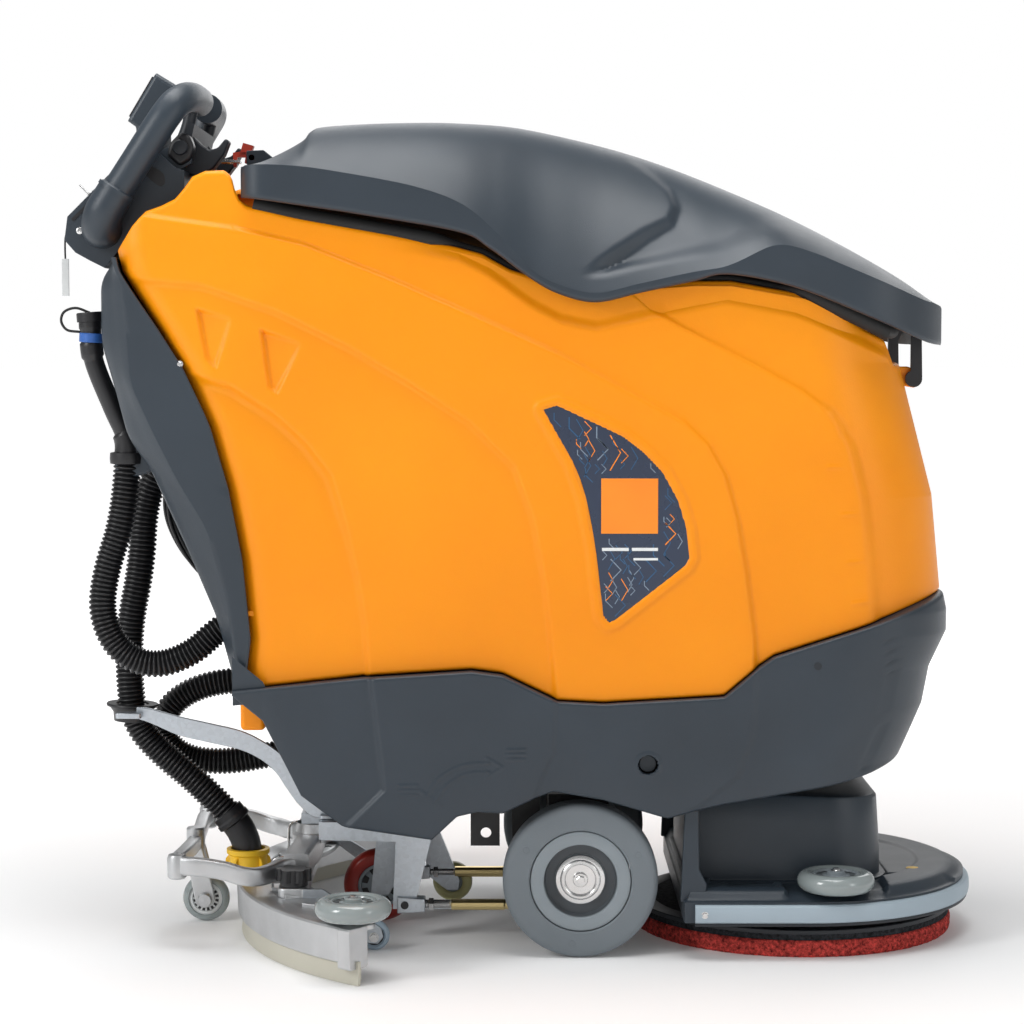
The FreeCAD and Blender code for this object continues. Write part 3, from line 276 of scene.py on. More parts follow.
def tube_faces(rings, sides, start=0, caps=True):
    """Faces of a closed section of so many sides, carried through so many rings, and of its two ends."""
    faces = []
    for i in range(rings - 1):
        for k in range(sides):
            a, b = start + i * sides + k, start + i * sides + (k + 1) % sides
            faces.append((a, b, b + sides, a + sides))
    if caps:
        end = start + rings * sides
        faces += [tuple(range(start, start + sides)), tuple(range(end - 1, end - sides - 1, -1))]
    return faces


def smooth_line(points, per=8, closed=False):
    """A Catmull-Rom curve through 2-D or 3-D points."""
    p = np.array(points, float)
    n = len(p)
    out = []
    spans = n if closed else n - 1
    for i in range(spans):
        if closed:
            a, b, c, d = p[i - 1], p[i], p[(i + 1) % n], p[(i + 2) % n]
        else:
            a = p[i - 1] if i > 0 else 2 * p[0] - p[1]
            b, c = p[i], p[i + 1]
            d = p[i + 2] if i + 2 < n else 2 * p[-1] - p[-2]
        for k in range(per):
            t = k / per
            out.append(0.5 * (2 * b + (c - a) * t + (2 * a - 5 * b + 4 * c - d) * t * t
                              + (3 * b - a - 3 * c + d) * t ** 3))
    if not closed:
        out.append(p[-1])
    return np.array(out)


def extrusion(name, low, high, material, body, bevel, segments):
    """A plate between two outlines of the same points, with rounded edges."""
    n = len(low)
    faces = [tuple(range(n)), tuple(range(2 * n - 1, n - 1, -1))]
    faces += [(i, (i + 1) % n, n + (i + 1) % n, n + i) for i in range(n)]
    obj = add_mesh(name, low + high, faces, material, body, angle=35)
    return bevelled(obj, bevel, segments) if bevel else obj


def prism(name, outline, y0, y1, material, body, bevel=0.0, segments=3):
    """A plate with an X-Z outline, from y0 to y1."""
    low, high = ([(x, y, z) for x, z in outline] for y in (y0, y1))
    return extrusion(name, low, high, material, body, bevel, segments)


def plan_prism(name, outline, z0, z1, material, body, bevel=0.0, segments=3):
    """A plate with an X-Y outline, from z0 to z1."""
    low, high = ([(x, y, z) for x, y in outline] for z in (z0, z1))
    return extrusion(name, low, high, material, body, bevel, segments)


def span(s, inner, outer):
    """Lowest and highest Y of something between two distances from the middle, on side s."""
    return sorted((s * inner, s * outer))


def axis_frame(axis):
    """Two directions square to an axis, and the axis itself."""
    w = Vector(axis).normalized()
    u = w.orthogonal().normalized()
    return u, w.cross(u), w


AXIS_R = 1e-5       # least radius, so that a point on the axis still makes faces


def around(u, v, a):
    """The direction at angle a from u towards v."""
    return u * math.cos(a) + v * math.sin(a)


def tangents(pts):
    """The direction of a line at each of its points."""
    last = len(pts) - 1
    return [(pts[min(i + 1, last)] - pts[max(i - 1, 0)]).normalized() for i in range(last + 1)]


def lathe(name, profile, centre, axis, material, body, steps=64, angle=35):
    """A turned piece: profile is (radius, along the axis), from one end to the other."""
    u, v, w = axis_frame(axis)
    centre = Vector(centre)
    verts = []
    for k in range(steps):
        ring = around(u, v, TURN * k / steps)
        verts += [centre + ring * max(r, AXIS_R) + w * h for r, h in profile]
    return add_mesh(name, verts, grid_faces(steps, len(profile), closed=True), material, body, angle=angle)


def sweep(name, line, radius, material, body, sides=20, radii=None):
    """A tube along a line of points; radii gives a radius for each point."""
    pts = [Vector(p) for p in line]
    runs = tangents(pts)
    u = runs[0].orthogonal().normalized()
    verts = []
    for i, (p, t) in enumerate(zip(pts, runs)):
        u = (u - t * u.dot(t)).normalized()
        v = t.cross(u)
        r = radii[i] if radii is not None else radius
        verts += [p + around(u, v, TURN * k / sides) * r for k in range(sides)]
    return add_mesh(name, verts, tube_faces(len(pts), sides), material, body, angle=50)


def bolt(name, centre, axis, r, h, material, body):
    """A hexagon head on a washer."""
    u, v, w = axis_frame(axis)
    c = Vector(centre)
    verts = []
    for ring_r, up, n in ((r * 1.35, 0, 24), (r * 1.35, h * 0.25, 24),
                          (r, h * 0.25, 6), (r, h * 0.9, 6), (r * 0.86, h, 6)):
        verts += [c + around(u, v, TURN * k / n) * ring_r + w * up for k in range(n)]
    faces = tube_faces(2, 24, caps=False) + [tuple(range(24, 48))]
    faces += tube_faces(3, 6, 48, caps=False) + [tuple(range(60, 66))]
    return add_mesh(name, verts, faces, material, body, angle=25)


# ------------------------------------------------------------------ hoses and cords
def nurbs_line(name, points):
    """Points read from the smooth line of a route."""
    curve = bpy.data.curves.new(name, "CURVE")
    curve.dimensions = "3D"
    curve.resolution_u = 24
    spline = curve.splines.new("NURBS")
    spline.points.add(len(points) - 1)
    for point, place in zip(spline.points, points):
        point.co = (*place, 1)
    spline.order_u = 3
    spline.use_endpoint_u = True
    holder = bpy.data.objects.new(name, curve)
    mesh = bpy.data.meshes.new_from_object(holder)
    line = np.array([v.co for v in mesh.vertices])
    bpy.data.objects.remove(holder)
    bpy.data.curves.remove(curve)
    bpy.data.meshes.remove(mesh)
    return line


def resample(line, step):
    """Points at even steps along a line, and its length."""
    gaps = np.linalg.norm(np.diff(line, axis=0), axis=1)
    along = np.concatenate([[0], np.cumsum(gaps)])
    count = max(2, int(round(along[-1] / step)))
    s = np.linspace(0, along[-1], count + 1)
    return np.stack([np.interp(s, along, line[:, k]) for k in range(3)], axis=1), along[-1]


RIB_PITCH = 0.0062


def ribbed_hose(name, route, r, body, node):
    """A corrugated hose: rounded ribs with a narrow root between them."""
    line = nurbs_line(name, route)
    per = 8
    points, total = resample(line, RIB_PITCH / per)
    radii = []
    for i in range(len(points)):
        phase = (i % per) / per
        radii.append(r - 0.003 * (0.5 - 0.5 * math.cos(TURN * phase)) ** 1.6)
    hose = sweep(name, points, r, HOSE, body, sides=28, radii=radii)
    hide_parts(node)
    return hose, points, total


SUCTION_ROUTE = [(-0.4708, -0.025, 0.1508), (-0.512, -0.025, 0.194), (-0.56, -0.027, 0.233),
                 (-0.597, -0.029, 0.275), (-0.604, -0.03, 0.332), (-0.603, -0.031, 0.41),
                 (-0.586, -0.031, 0.49), (-0.582, -0.029, 0.57), (-0.562, -0.027, 0.624),
                 (-0.524, -0.026, 0.652), (-0.481, -0.026, 0.66)]
DRAIN_ROUTE = [(-0.587, -0.14, 0.634), (-0.592, -0.14, 0.565), (-0.618, -0.139, 0.49),
               (-0.624, -0.138, 0.432), (-0.6, -0.136, 0.384), (-0.555, -0.134, 0.366),
               (-0.505, -0.132, 0.384), (-0.472, -0.13, 0.416), (-0.441, -0.129, 0.434)]
VACUUM_ROUTE = [(-0.315, 0.03, 0.322), (-0.4, 0.032, 0.326), (-0.46, 0.034, 0.328),
                (-0.52, 0.036, 0.318), (-0.562, 0.038, 0.29), (-0.572, 0.038, 0.25),
                (-0.54, 0.036, 0.218), (-0.48, 0.034, 0.212), (-0.41, 0.032, 0.226),
                (-0.315, 0.03, 0.238)]
CABLE_ROUTE = [(-0.481, 0.062, 0.66), (-0.528, 0.062, 0.652), (-0.558, 0.062, 0.614),
               (-0.566, 0.063, 0.56), (-0.545, 0.064, 0.508), (-0.512, 0.064, 0.468),
               (-0.476, 0.064, 0.442), (-0.441, 0.064, 0.434)]
TETHER_ROUTE = [(-0.661, -0.118, 0.94), (-0.668, -0.118, 0.931), (-0.669, -0.118, 0.914),
                (-0.6685, -0.118, 0.898)]


def cords():
    """Every free hose, cable and cord, on the routes that part.py has too."""
    for name, route, r, node, body in (("suction_hose_ribbed", SUCTION_ROUTE, 0.019, "suction_hose", None),
                                       ("drain_hose_ribbed", DRAIN_ROUTE, 0.018, "drain_hose", "chassis"),
                                       ("vacuum_hose_ribbed", VACUUM_ROUTE, 0.018, "vacuum_hose", "chassis")):
        hose, points, total = ribbed_hose(name, route, r, body, node)
        if body is None:
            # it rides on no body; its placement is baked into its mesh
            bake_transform(hose)
    line, total = resample(nurbs_line("cable_line", CABLE_ROUTE), 0.004)
    bundle = strand_bundle("cable_bundle_strands", line)
    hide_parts("cable_bundle")
    line, total = resample(nurbs_line("tether_line", TETHER_ROUTE), 0.001)
    tether = sweep("key_tether_cord", line, 0.0012, BLACK, "chassis", sides=10)
    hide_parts("key_tether")


def strand_bundle(name, line):
    """Five cables twisted together, in one mesh."""
    pts = [Vector(p) for p in line]
    runs = tangents(pts)
    verts, faces = [], []
    sides, strands, strand_r, offset, twist = 10, 5, 0.0028, 0.0042, 0.05
    for s in range(strands):
        u = runs[0].orthogonal().normalized()
        faces += tube_faces(len(pts), sides, len(verts))
        for i, (p, t) in enumerate(zip(pts, runs)):
            u = (u - t * u.dot(t)).normalized()
            v = t.cross(u)
            c = p + around(u, v, TURN * s / strands + twist * i) * offset
            verts += [c + around(u, v, TURN * k / sides) * strand_r for k in range(sides)]
    return add_mesh(name, verts, faces, HOSE, "chassis")


cords()


# ------------------------------------------------------------------ outlines, as in the CAD model
SKIRT_HALF = 232 * MM
TANK_HALF = 225 * MM
NOSE_ROUND = 130 * MM
TAIL_ROUND = 40 * MM


def mm(points):
    """Points given in millimetres, as an array in metres."""
    return np.array(points, float) * MM


TANK_TOP = mm([(-590, 911), (-572, 938), (-552, 955), (-532, 962), (-514, 971), (-503, 984), (-492, 999),
               (-476, 1006), (-452, 1007), (-443, 1000), (-439, 984), (-433, 969), (-422, 962), (-400, 957),
               (-357, 947), (-160, 911), (-126, 902), (-90, 882), (-40, 866), (20, 858),
               (80, 862), (143, 868), (190, 868), (284, 851), (350, 820), (404, 793), (409, 764), (419, 764)])
TANK_SHOULDER = mm([(-600, 872), (-540, 878), (-444, 876), (-357, 864), (-240, 846), (-126, 826), (10, 800),
                    (143, 780), (284, 768), (350, 752), (404, 728), (440, 716)])
TANK_FRONT = mm([(476, 466), (464, 591), (444, 668), (419, 764)])
TANK_REAR = mm([(-438, 347), (-430, 411), (-440, 514), (-457, 604), (-479, 681), (-511, 758), (-540, 808),
                (-565, 848), (-584, 880), (-591, 911)])
TANK_BOTTOM = mm([(-438, 347), (-280, 365), (-139, 374), (-100, 369), (-30, 335), (28, 332), (182, 341),
                  (227, 379), (246, 392), (387, 437), (476, 466)])
HOOD_LOWER = mm([(-430, 972), (-366, 963), (-273, 949), (-155, 928), (-117, 908), (-62, 868), (-25, 849),
                 (19, 840), (74, 852), (139, 866), (185, 875), (271, 858), (369, 819), (428, 795), (451, 788),
                 (472, 786)])
HOOD_TOP = mm([(-426, 1012), (-362, 1052), (-350, 1066), (-330, 1073), (-245, 1078), (-150, 1078), (-55, 1069),
               (95, 1031), (262, 962), (413, 880), (470, 834)])
SKIRT_LOWER = mm([(-445, 342), (-405, 309), (-389, 277), (-357, 213), (-305, 174), (-190, 157), (-158, 187),
                  (-132, 193), (-100, 191), (-62, 209), (-36, 219), (28, 208), (110, 184), (179, 201),
                  (330, 227), (375, 237), (421, 250)])
SKIRT_FRONT = mm([(421, 250), (451, 320), (460, 368), (482, 415), (482, 443), (477, 466)])

# raised lines on the tank's side, from its rear or top end down to the skirt
LINE_A = mm([(30, 885), (89, 832), (130, 809), (218, 764), (277, 732), (318, 703), (348, 655), (366, 578), (376, 502),
             (382, 400)])
LINE_B = mm([(-640, 962), (-548, 950), (-436, 934), (-350, 914), (-237, 869), (-125, 820), (-27, 776), (79, 719),
             (130, 691), (160, 662), (183, 621), (198, 567), (209, 505), (221, 415), (224, 300)])
LINE_C = mm([(-640, 874), (-552, 866), (-481, 860), (-387, 828), (-294, 782), (-218, 737), (-143, 688), (-86, 632),
             (-62, 566), (-48, 489), (-39, 406), (-30, 300)])
LINE_D = mm([(-600, 760), (-530, 752), (-496, 747), (-443, 733), (-387, 696), (-350, 662), (-319, 621), (-299, 553),
             (-285, 489), (-276, 430), (-270, 310)])
POCKETS = [mm([(-487, 832), (-442, 820), (-463, 756), (-475, 768)]),
           mm([(-406, 806), (-354, 788), (-386, 724), (-396, 733)])]
BADGE = mm([(-48, 705), (-31, 710), (52, 671), (78, 651), (102, 626), (122, 590), (133, 554), (137, 518),
            (131, 507), (44, 439), (35, 435), (28, 444), (19, 522), (6, 592), (-11, 639)])
LEVELS = mm([(308, 632), (326, 572), (335, 511), (341, 459)])


def polyline_distance(x, z, line):
    """Distance from points to a polyline, and which side: positive to the right as it runs."""
    shape = x.shape
    p = np.stack([x.ravel(), z.ravel()], axis=1)
    best = np.full(len(p), 1e9)
    lean = np.zeros(len(p))
    side = np.ones(len(p))
    for a, b in zip(line[:-1], line[1:]):
        d = b - a
        t = np.clip(((p - a) @ d) / max(d @ d, 1e-12), 0, 1)
        gap = p - (a + t[:, None] * d)
        dist = np.hypot(gap[:, 0], gap[:, 1])
        cross = (d[0] * (p[:, 1] - a[1]) - d[1] * (p[:, 0] - a[0])) / max(math.hypot(*d), 1e-9)
        # at a shared corner the segment seen more squarely decides the side
        closer = (dist < best - 1e-7) | ((dist < best + 1e-7) & (np.abs(cross) > lean))
        best[closer] = dist[closer]
        lean[closer] = np.abs(cross[closer])
        side[closer] = np.where(cross[closer] < 0, 1.0, -1.0)
    return best.reshape(shape), side.reshape(shape)


def inside_polygon(x, z, outline):
    """Whether each point lies in a closed outline."""
    inside = np.zeros(x.shape, bool)
    n = len(outline)
    for i in range(n):
        (xa, za), (xb, zb) = outline[i], outline[(i + 1) % n]
        crosses = (za > z) != (zb > z)
        with np.errstate(divide="ignore", invalid="ignore"):
            at = (xb - xa) * (z - za) / (zb - za) + xa
        inside ^= crosses & (x < at)
    return inside


def polygon_depth(x, z, outline):
    """Positive inside the polygon, as a distance from its edge."""
    closed = np.vstack([outline, outline[:1]])
    dist, _ = polyline_distance(x, z, closed)
    return np.where(inside_polygon(x, z, outline), dist, -dist)


def step(d, width):
    """0 to 1 across the given width, smooth at both ends."""
    t = np.clip(d / width + 0.5, 0, 1)
    return t * t * (3 - 2 * t)


def signed_step(x, z, line, width):
    """0 on the left of a line as it runs, 1 on its right, smooth between."""
    dist, side = polyline_distance(x, z, line)
    return step(dist * side, width)


# ------------------------------------------------------------------ draped shells
def rounding(gap, r):
    """How far a wall draws in, at each distance from its end, to round the end off."""
    edge = np.clip(r - gap, 0, r)
    return r - np.sqrt(np.maximum(r ** 2 - edge ** 2, 0))


class Shell:
    """Columns round half of a body in plan, from its rear to its front, each with its place between the
    rear and front edges of the side outline."""

    def __init__(self, half, rear_r, front_r, side_columns, corner_columns, face_columns, rear_face=True):
        rows = []

        def column(rear, front, offset, y, nx, ny):
            rows.append((rear, front, offset, y, nx, ny))

        if rear_face:
            for k in range(face_columns):
                column(1, 0, -rear_r, -(half - rear_r) * k / face_columns, 1, 0)
            for k in range(corner_columns):
                a = math.pi / 2 * k / corner_columns
                column(1, 0, -rear_r * math.cos(a), -(half - rear_r + rear_r * math.sin(a)),
                       math.cos(a), math.sin(a))
        for k in range(side_columns):
            t = k / side_columns
            column(1 - t, t, 0, -half, 0, 1)
        for k in range(corner_columns * 2):
            a = math.pi / 2 * k / (corner_columns * 2)
            column(0, 1, front_r * math.sin(a), -(half - front_r + front_r * math.cos(a)),
                   -math.sin(a), math.cos(a))
        for k in range(face_columns + 1):
            column(0, 1, front_r, -(half - front_r) * (1 - k / face_columns), -1, 0)
        self.table = np.array(rows)
        self.rear_r, self.front_r = rear_r, front_r

    def solve(self, rear, front, low, high, shares):
        """x, z of each column at each share of its height; rear and front give x at z, low and high z at x."""
        c = self.table

        def x_of(z):
            xr = np.interp(z, rear[:, 1], rear[:, 0]) + self.rear_r
            xf = np.interp(z, front[:, 1], front[:, 0]) - self.front_r
            return c[:, :1] * xr + c[:, 1:2] * xf + c[:, 2:3]

        b = np.asarray(shares)[None, :]
        z0 = np.full((len(c), b.shape[1]), 0.05)
        z1 = np.full_like(z0, 1.2)
        for _ in range(34):
            z = (z0 + z1) / 2
            x = x_of(z)
            zl = np.interp(x, low[:, 0], low[:, 1])
            zh = np.interp(x, high[:, 0], high[:, 1])
            above = z > zl + (zh - zl) * b
            z1 = np.where(above, z, z1)
            z0 = np.where(above, z0, z)
        return x_of(z), z

    def place(self, x, z, inset):
        """3-D points, moved inwards by inset along the plan normal."""
        c = self.table
        y = np.broadcast_to(c[:, 3:4], x.shape) + inset * c[:, 5:6]
        return np.stack([x + inset * c[:, 4:5], y, z], axis=-1)


def mirrored_grid(name, layers, material, body, angle=40):
    """One mesh from grids of points (columns by rows) and their mirror images across the middle."""
    verts, faces = [], []
    for pts in layers:
        nu, nv = pts.shape[:2]
        for sign in (1, -1):
            start = len(verts)
            q = pts.reshape(-1, 3).copy()
            q[:, 1] *= sign
            verts += [tuple(v) for v in q]
            grid = grid_faces(nu, nv, start=start)
            faces += grid if sign == 1 else [f[::-1] for f in grid]
    return add_mesh(name, verts, faces, material, body, angle=angle)


# rubber for the lid seal bead; the bead is made thick, so this black also stands in for the shade in the gap between
# the hood and the tank
SEAL_AND_GAP_SHADE = moulded("seal_rubber_and_gap_shade", (0.01, 0.01, 0.01), 0.7, 320.0, 0.0003)


def solution_tank():
    """The roto-moulded tank: terraced sides, a rounded rim, its floor, feet and hinge lugs, and the lid seal, made
    thick so that its black also fills the gap under the hood as painted shade.
    """
    shell = Shell(TANK_HALF, TAIL_ROUND, NOSE_ROUND, 300, 12, 14)
    lip = 0.007
    x0, z0 = shell.solve(TANK_REAR, TANK_FRONT, TANK_BOTTOM, TANK_SHOULDER, np.linspace(0, 1, 190))
    x1, z1 = shell.solve(TANK_REAR, TANK_FRONT, TANK_SHOULDER, TANK_TOP, np.linspace(0, 1, 64)[1:])
    x, z = np.concatenate([x0, x1], axis=1), np.concatenate([z0, z1], axis=1)
    side = np.clip(shell.table[:, 5:6], 0, 1) * np.ones_like(x)
    inset = np.zeros_like(x)
    # terraces between the raised lines
    terrace = 0.0062
    inset += terrace * (1 - signed_step(x, z, LINE_D[::-1], 0.01))
    inset += terrace * (1 - signed_step(x, z, LINE_C[::-1], 0.009))
    inset += terrace * signed_step(x, z, LINE_B[::-1], 0.008)
    inset += 0.0058 * signed_step(x, z, LINE_A[::-1], 0.008)
    # the hollow below line D is deepest under its bend
    dist, line_side = polyline_distance(x, z, LINE_D)
    below = step(dist * line_side - 0.006, 0.012) * np.exp(-dist / 0.05)
    inset += 0.005 * below * step(z - 0.56, 0.16)
    for outline in POCKETS:
        depth = polygon_depth(x, z, outline)
        along = np.clip((x - outline[0][0]) / (outline[1][0] - outline[0][0]), 0, 1)
        inset += 0.008 * step(depth - 0.001, 0.005) * (1 - 0.85 * along)
    badge = polygon_depth(x, z, BADGE)
    inset -= 0.003 * step(badge + 0.012, 0.005)
    inset += 0.003 * step(badge + 0.001, 0.003)
    # soft shoulder under the hood's lobe
    hood_gap = z - np.interp(x, HOOD_LOWER[:, 0], HOOD_LOWER[:, 1])
    near = step(hood_gap + 0.03, 0.018)
    lobe = step(x + 0.2, 0.1) * step(0.43 - x, 0.05)
    inset += 0.0075 * near * lobe
    # crown of the wall
    inset += 0.01 * np.clip((z - 0.7) / 0.28, 0, 1) ** 2
    for lx, lz in LEVELS:
        tick = (np.abs(z - lz) < 0.0022) & (np.abs(x - lx - 0.013) < 0.01)
        inset -= 0.0012 * tick
    inset *= side
    top = np.interp(x, TANK_TOP[:, 0], TANK_TOP[:, 1])
    low = np.interp(x, TANK_BOTTOM[:, 0], TANK_BOTTOM[:, 1])
    inset += rounding(top - z, lip)
    inset += rounding(z - low, 0.004)
    outer = shell.place(x, z, inset)
    last_x, last_z, last_in = x[:, -1:], z[:, -1:], inset[:, -1:]
    over = []
    for a in (30, 60, 90):
        drop = lip * (1 - math.cos(math.radians(a)))
        over.append(shell.place(last_x, last_z - drop, last_in + lip * math.sin(math.radians(a)) * 0.9))
    back = np.linspace(x.shape[1] - 6, 12, 26).astype(int)
    flat = np.minimum(inset, 0.012)
    over.append(shell.place(x[:, back], z[:, back], np.maximum(flat[:, back] + 0.0055, lip)))
    foot = shell.place(x[:, :1], z[:, :1] + 0.004, inset[:, :1] + 0.01)
    grid = np.concatenate([foot, outer] + over, axis=1)
    tank = mirrored_grid("tank_body", [grid], ORANGE, "chassis", angle=60)
    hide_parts("solution_tank")
    floor = [(-0.425, 0.447), (0.335, 0.447), (0.335, 0.441), (-0.425, 0.441)]
    prism("tank_floor", floor, -0.205, 0.205, ORANGE, "chassis")
    # the lid seal bead is a real seal, made thick (most at the rear) so that its black also paints the shade in the
    # gap between the hood and the tank
    top_line = TANK_TOP[TANK_TOP[:, 0] > -0.43]
    seal_xs = np.linspace(-0.415, 0.385, 90)
    lobe_share = step(seal_xs + 0.17, 0.05) * step(0.27 - seal_xs, 0.05)
    seal_ys = 0.199 - 0.013 * lobe_share
    seal_and_gap_shade_radii = 0.011 - 0.006 * lobe_share
    seal_zs = np.interp(seal_xs, top_line[:, 0], top_line[:, 1]) + 0.003
    half_run = [(x, -y, z) for x, y, z in zip(seal_xs, seal_ys, seal_zs)]
    half_run += [(0.396, -0.18, seal_zs[-1]), (0.4, -0.1, seal_zs[-1]), (0.4, 0.0, seal_zs[-1])]
    half_radii = list(seal_and_gap_shade_radii) + [seal_and_gap_shade_radii[-1]] * 3
    seal_line = half_run + [(q[0], -q[1], q[2]) for q in half_run[-2::-1]]
    seal = sweep("lid_seal_bead_and_gap_shade", seal_line, 0.008, SEAL_AND_GAP_SHADE, "chassis", sides=16,
                 radii=half_radii + half_radii[-2::-1])
    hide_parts("lid_seal")
    for s, side in SIDES:
        foot_box = [(-0.437, 0.292), (-0.405, 0.292), (-0.405, 0.349), (-0.437, 0.349)]
        prism("tank_foot_" + side, foot_box, *span(s, 0.1, 0.2), ORANGE, "chassis", 0.006)
        lug = mm([(405, 758), (432, 758), (449, 748), (449, 736), (440, 730), (412, 735)])
        prism("hinge_lug_" + side, lug, *span(s, 0.086, 0.098), ORANGE, "chassis", 0.002)


HOOD_CREASE = mm([(-431, 1006), (-424, 1012), (-365, 1011), (-304, 1003), (-210, 985), (-149, 962),
                  (-105, 925), (-62, 880), (-25, 861), (19, 852), (74, 864), (139, 878), (176, 884),
                  (200, 893), (222, 904), (240, 911), (262, 911), (300, 899), (336, 884), (427, 847),
                  (453, 840), (472, 834)])
HOOD_HALF = SKIRT_HALF
HOOD_REAR_X = -431 * MM
HOOD_FRONT_X = 472 * MM
HOOD_TAIL_ROUND = 0.03
SCOOP_EDGE = mm([(74, 1030), (96, 1012), (118, 990), (127, 966), (118, 944), (84, 926), (42, 898),
                 (4, 868)])


def hood_half_width(x):
    """Half width of the hood in plan at x."""
    w = np.full_like(x, HOOD_HALF)
    d = x - (HOOD_FRONT_X - NOSE_ROUND)
    front = d > 0
    w[front] = HOOD_HALF - NOSE_ROUND + np.sqrt(np.maximum(NOSE_ROUND ** 2 - d[front] ** 2, 0))
    d = (HOOD_REAR_X + HOOD_TAIL_ROUND) - x
    rear = d > 0
    w[rear] = HOOD_HALF - HOOD_TAIL_ROUND + np.sqrt(np.maximum(HOOD_TAIL_ROUND ** 2 - d[rear] ** 2, 0))
    return w


def hood():
    """The lid: a crowned roof that falls into a lobe on each side, with a rolled lower edge and a hollow inside."""
    # plan stations, closer together at both ends
    t = np.linspace(0, 1, 260)
    mid = HOOD_REAR_X + (HOOD_FRONT_X - HOOD_REAR_X) * t
    nose = HOOD_FRONT_X - NOSE_ROUND + NOSE_ROUND * np.sin(np.linspace(0, math.pi / 2, 40))
    tail = HOOD_REAR_X + HOOD_TAIL_ROUND * (1 - np.cos(np.linspace(0, math.pi / 2, 12)))
    xs = np.unique(np.concatenate([mid[(mid > tail[-1]) & (mid < nose[0])], nose, tail]))
    top_curve = smooth_line(HOOD_TOP, 16)
    crease_curve = smooth_line(HOOD_CREASE, 8)
    lower_curve = smooth_line(HOOD_LOWER, 8)
    top = np.interp(xs, top_curve[:, 0], top_curve[:, 1])
    crease = np.minimum(np.interp(xs, crease_curve[:, 0], crease_curve[:, 1]), top - 0.0015)
    lower = np.interp(xs, lower_curve[:, 0], lower_curve[:, 1])
    width = hood_half_width(xs)

    def row(y, z):
        return np.stack([xs, y, z], axis=-1)

    # share of the half width, from the edge to the middle
    rows = []
    roof = 64
    power = 2.5 + 1.0 * step(-0.05 - xs, 0.3)
    for k in range(roof + 1):
        u = math.cos(math.pi / 2 * k / roof) ** 0.85
        z = crease + (top - crease) * (1 - u ** power)
        rows.append(row(-width * u, z))
    roof_rows = np.stack(rows, axis=1)
    # the scoop: the roof behind the curved edge dips towards the lobe
    x, y, z = roof_rows[..., 0], roof_rows[..., 1], roof_rows[..., 2]
    dist, side = polyline_distance(x, z, SCOOP_EDGE)
    behind = step(-dist * side + 0.004, 0.016)
    reach = behind * np.exp(-np.clip(dist, 0, 1) / 0.085) * (-y / 0.232) ** 2.2
    reach *= step(z - 0.875, 0.05) * step(z - crease[:, None] - 0.03, 0.03)
    roof_rows[..., 1] += 0.013 * reach
    roof_rows[..., 2] -= 0.012 * reach
    # side wall from the lip up to the edge of the roof
    wall = []
    lip = 0.006
    for k in range(7):
        a = math.pi / 2 * k / 6
        wall.append(row(-(width - lip * (1 - math.sin(a))), lower + lip * (1 - math.cos(a))))
    wall_rows = np.stack(wall, axis=1)
    climb = [row(-width, lower + lip + (crease - lower - lip) * share) for share in np.linspace(0.0, 1.0, 14)[1:]]
    climb_rows = np.stack(climb, axis=1)
    room = np.minimum(0.03, (crease - lower) * 0.55)
    inner = [row(-(width - y_in), lower + room * share) for y_in, share in ((0.006, 0.0), (0.009, 0.3), (0.011, 1.0))]
    inner_rows = np.stack(inner[::-1], axis=1)
    under = []
    for k in range(1, 13):
        u = 1 - k / 12
        ceiling = crease + (top - crease) * (1 - u ** 1.7) - 0.016
        under.append(row(-(width - 0.013) * u, np.maximum(lower + room, ceiling)))
    under_rows = np.stack(under[::-1], axis=1)
    grid = np.concatenate([under_rows, inner_rows, wall_rows, climb_rows, roof_rows[:, 1:]], axis=1)
    shell = mirrored_grid("hood_moulding", [grid], SLATE, "hood", angle=28)
    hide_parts("hood_shell")
    for end in (0, -1):
        ring = grid[end, 12:]
        mirrored_end = ring.copy()
        mirrored_end[:, 1] *= -1
        loop = [tuple(p) for p in ring] + [tuple(p) for p in mirrored_end[::-1]]
        add_mesh("hood_end_" + ("rear" if end == 0 else "front"), loop, [tuple(range(len(loop)))], SLATE,
                 "hood", smooth=False)
    for s, side in SIDES:
        ear = mm([(-443, 1027), (-414, 1012), (-398, 1028), (-420, 1046), (-443, 1045)])
        prism("hook_ear_" + side, ear, *span(s, 0.01, 0.015), SLATE, "hood", 0.001)


SKIRT_CREASE_REAR = mm([(-270, 390), (-267, 357), (-260, 300), (-251, 222), (-299, 175), (-330, 145)])
SKIRT_CREASE_ARCH = mm([(-32, 380), (-33, 335), (-34, 271), (-49, 242), (-70, 180)])
SKIRT_CREASE_FRONT = mm([(223, 420), (222, 348), (220, 297), (200, 239), (150, 200), (60, 150)])
SKIRT_SEAM = mm([(388, 437), (391, 430), (396, 368), (384, 301), (355, 225)])
# painted shade: a near-black, matt material with almost no reflection, for the cup that stands in for the shade
# inside the skirt's hole
HOLE_SHADE = moulded("painted_hole_shade", (0.0012, 0.0012, 0.0014), 0.95, 300.0, 0.0001, rough_swing=0.03)
HOLE_SHADE.node_tree.nodes["Principled BSDF"].inputs["Specular IOR Level"].default_value = 0.05
HOLE_AT = (85 * MM, 254 * MM)
# embossed picture of the squeegee's two heights: a curved arrow between two stacks of short bars
LIFT_MARKS = [smooth_line(mm([(-196, 215), (-180, 238), (-150, 254), (-118, 257)]), 6),
              smooth_line(mm([(-186, 208), (-170, 229), (-146, 243), (-118, 245)]), 6),
              mm([(-206, 222), (-196, 215), (-178, 202)]),
              mm([(-118, 257), (-121, 264), (-100, 251), (-121, 238), (-118, 245)])]
LIFT_MARKS += [mm([(-232, z), (-208, z)]) for z in (216, 222, 228)]
LIFT_MARKS += [mm([(-94, z), (-72, z)]) for z in (262, 268, 274)]


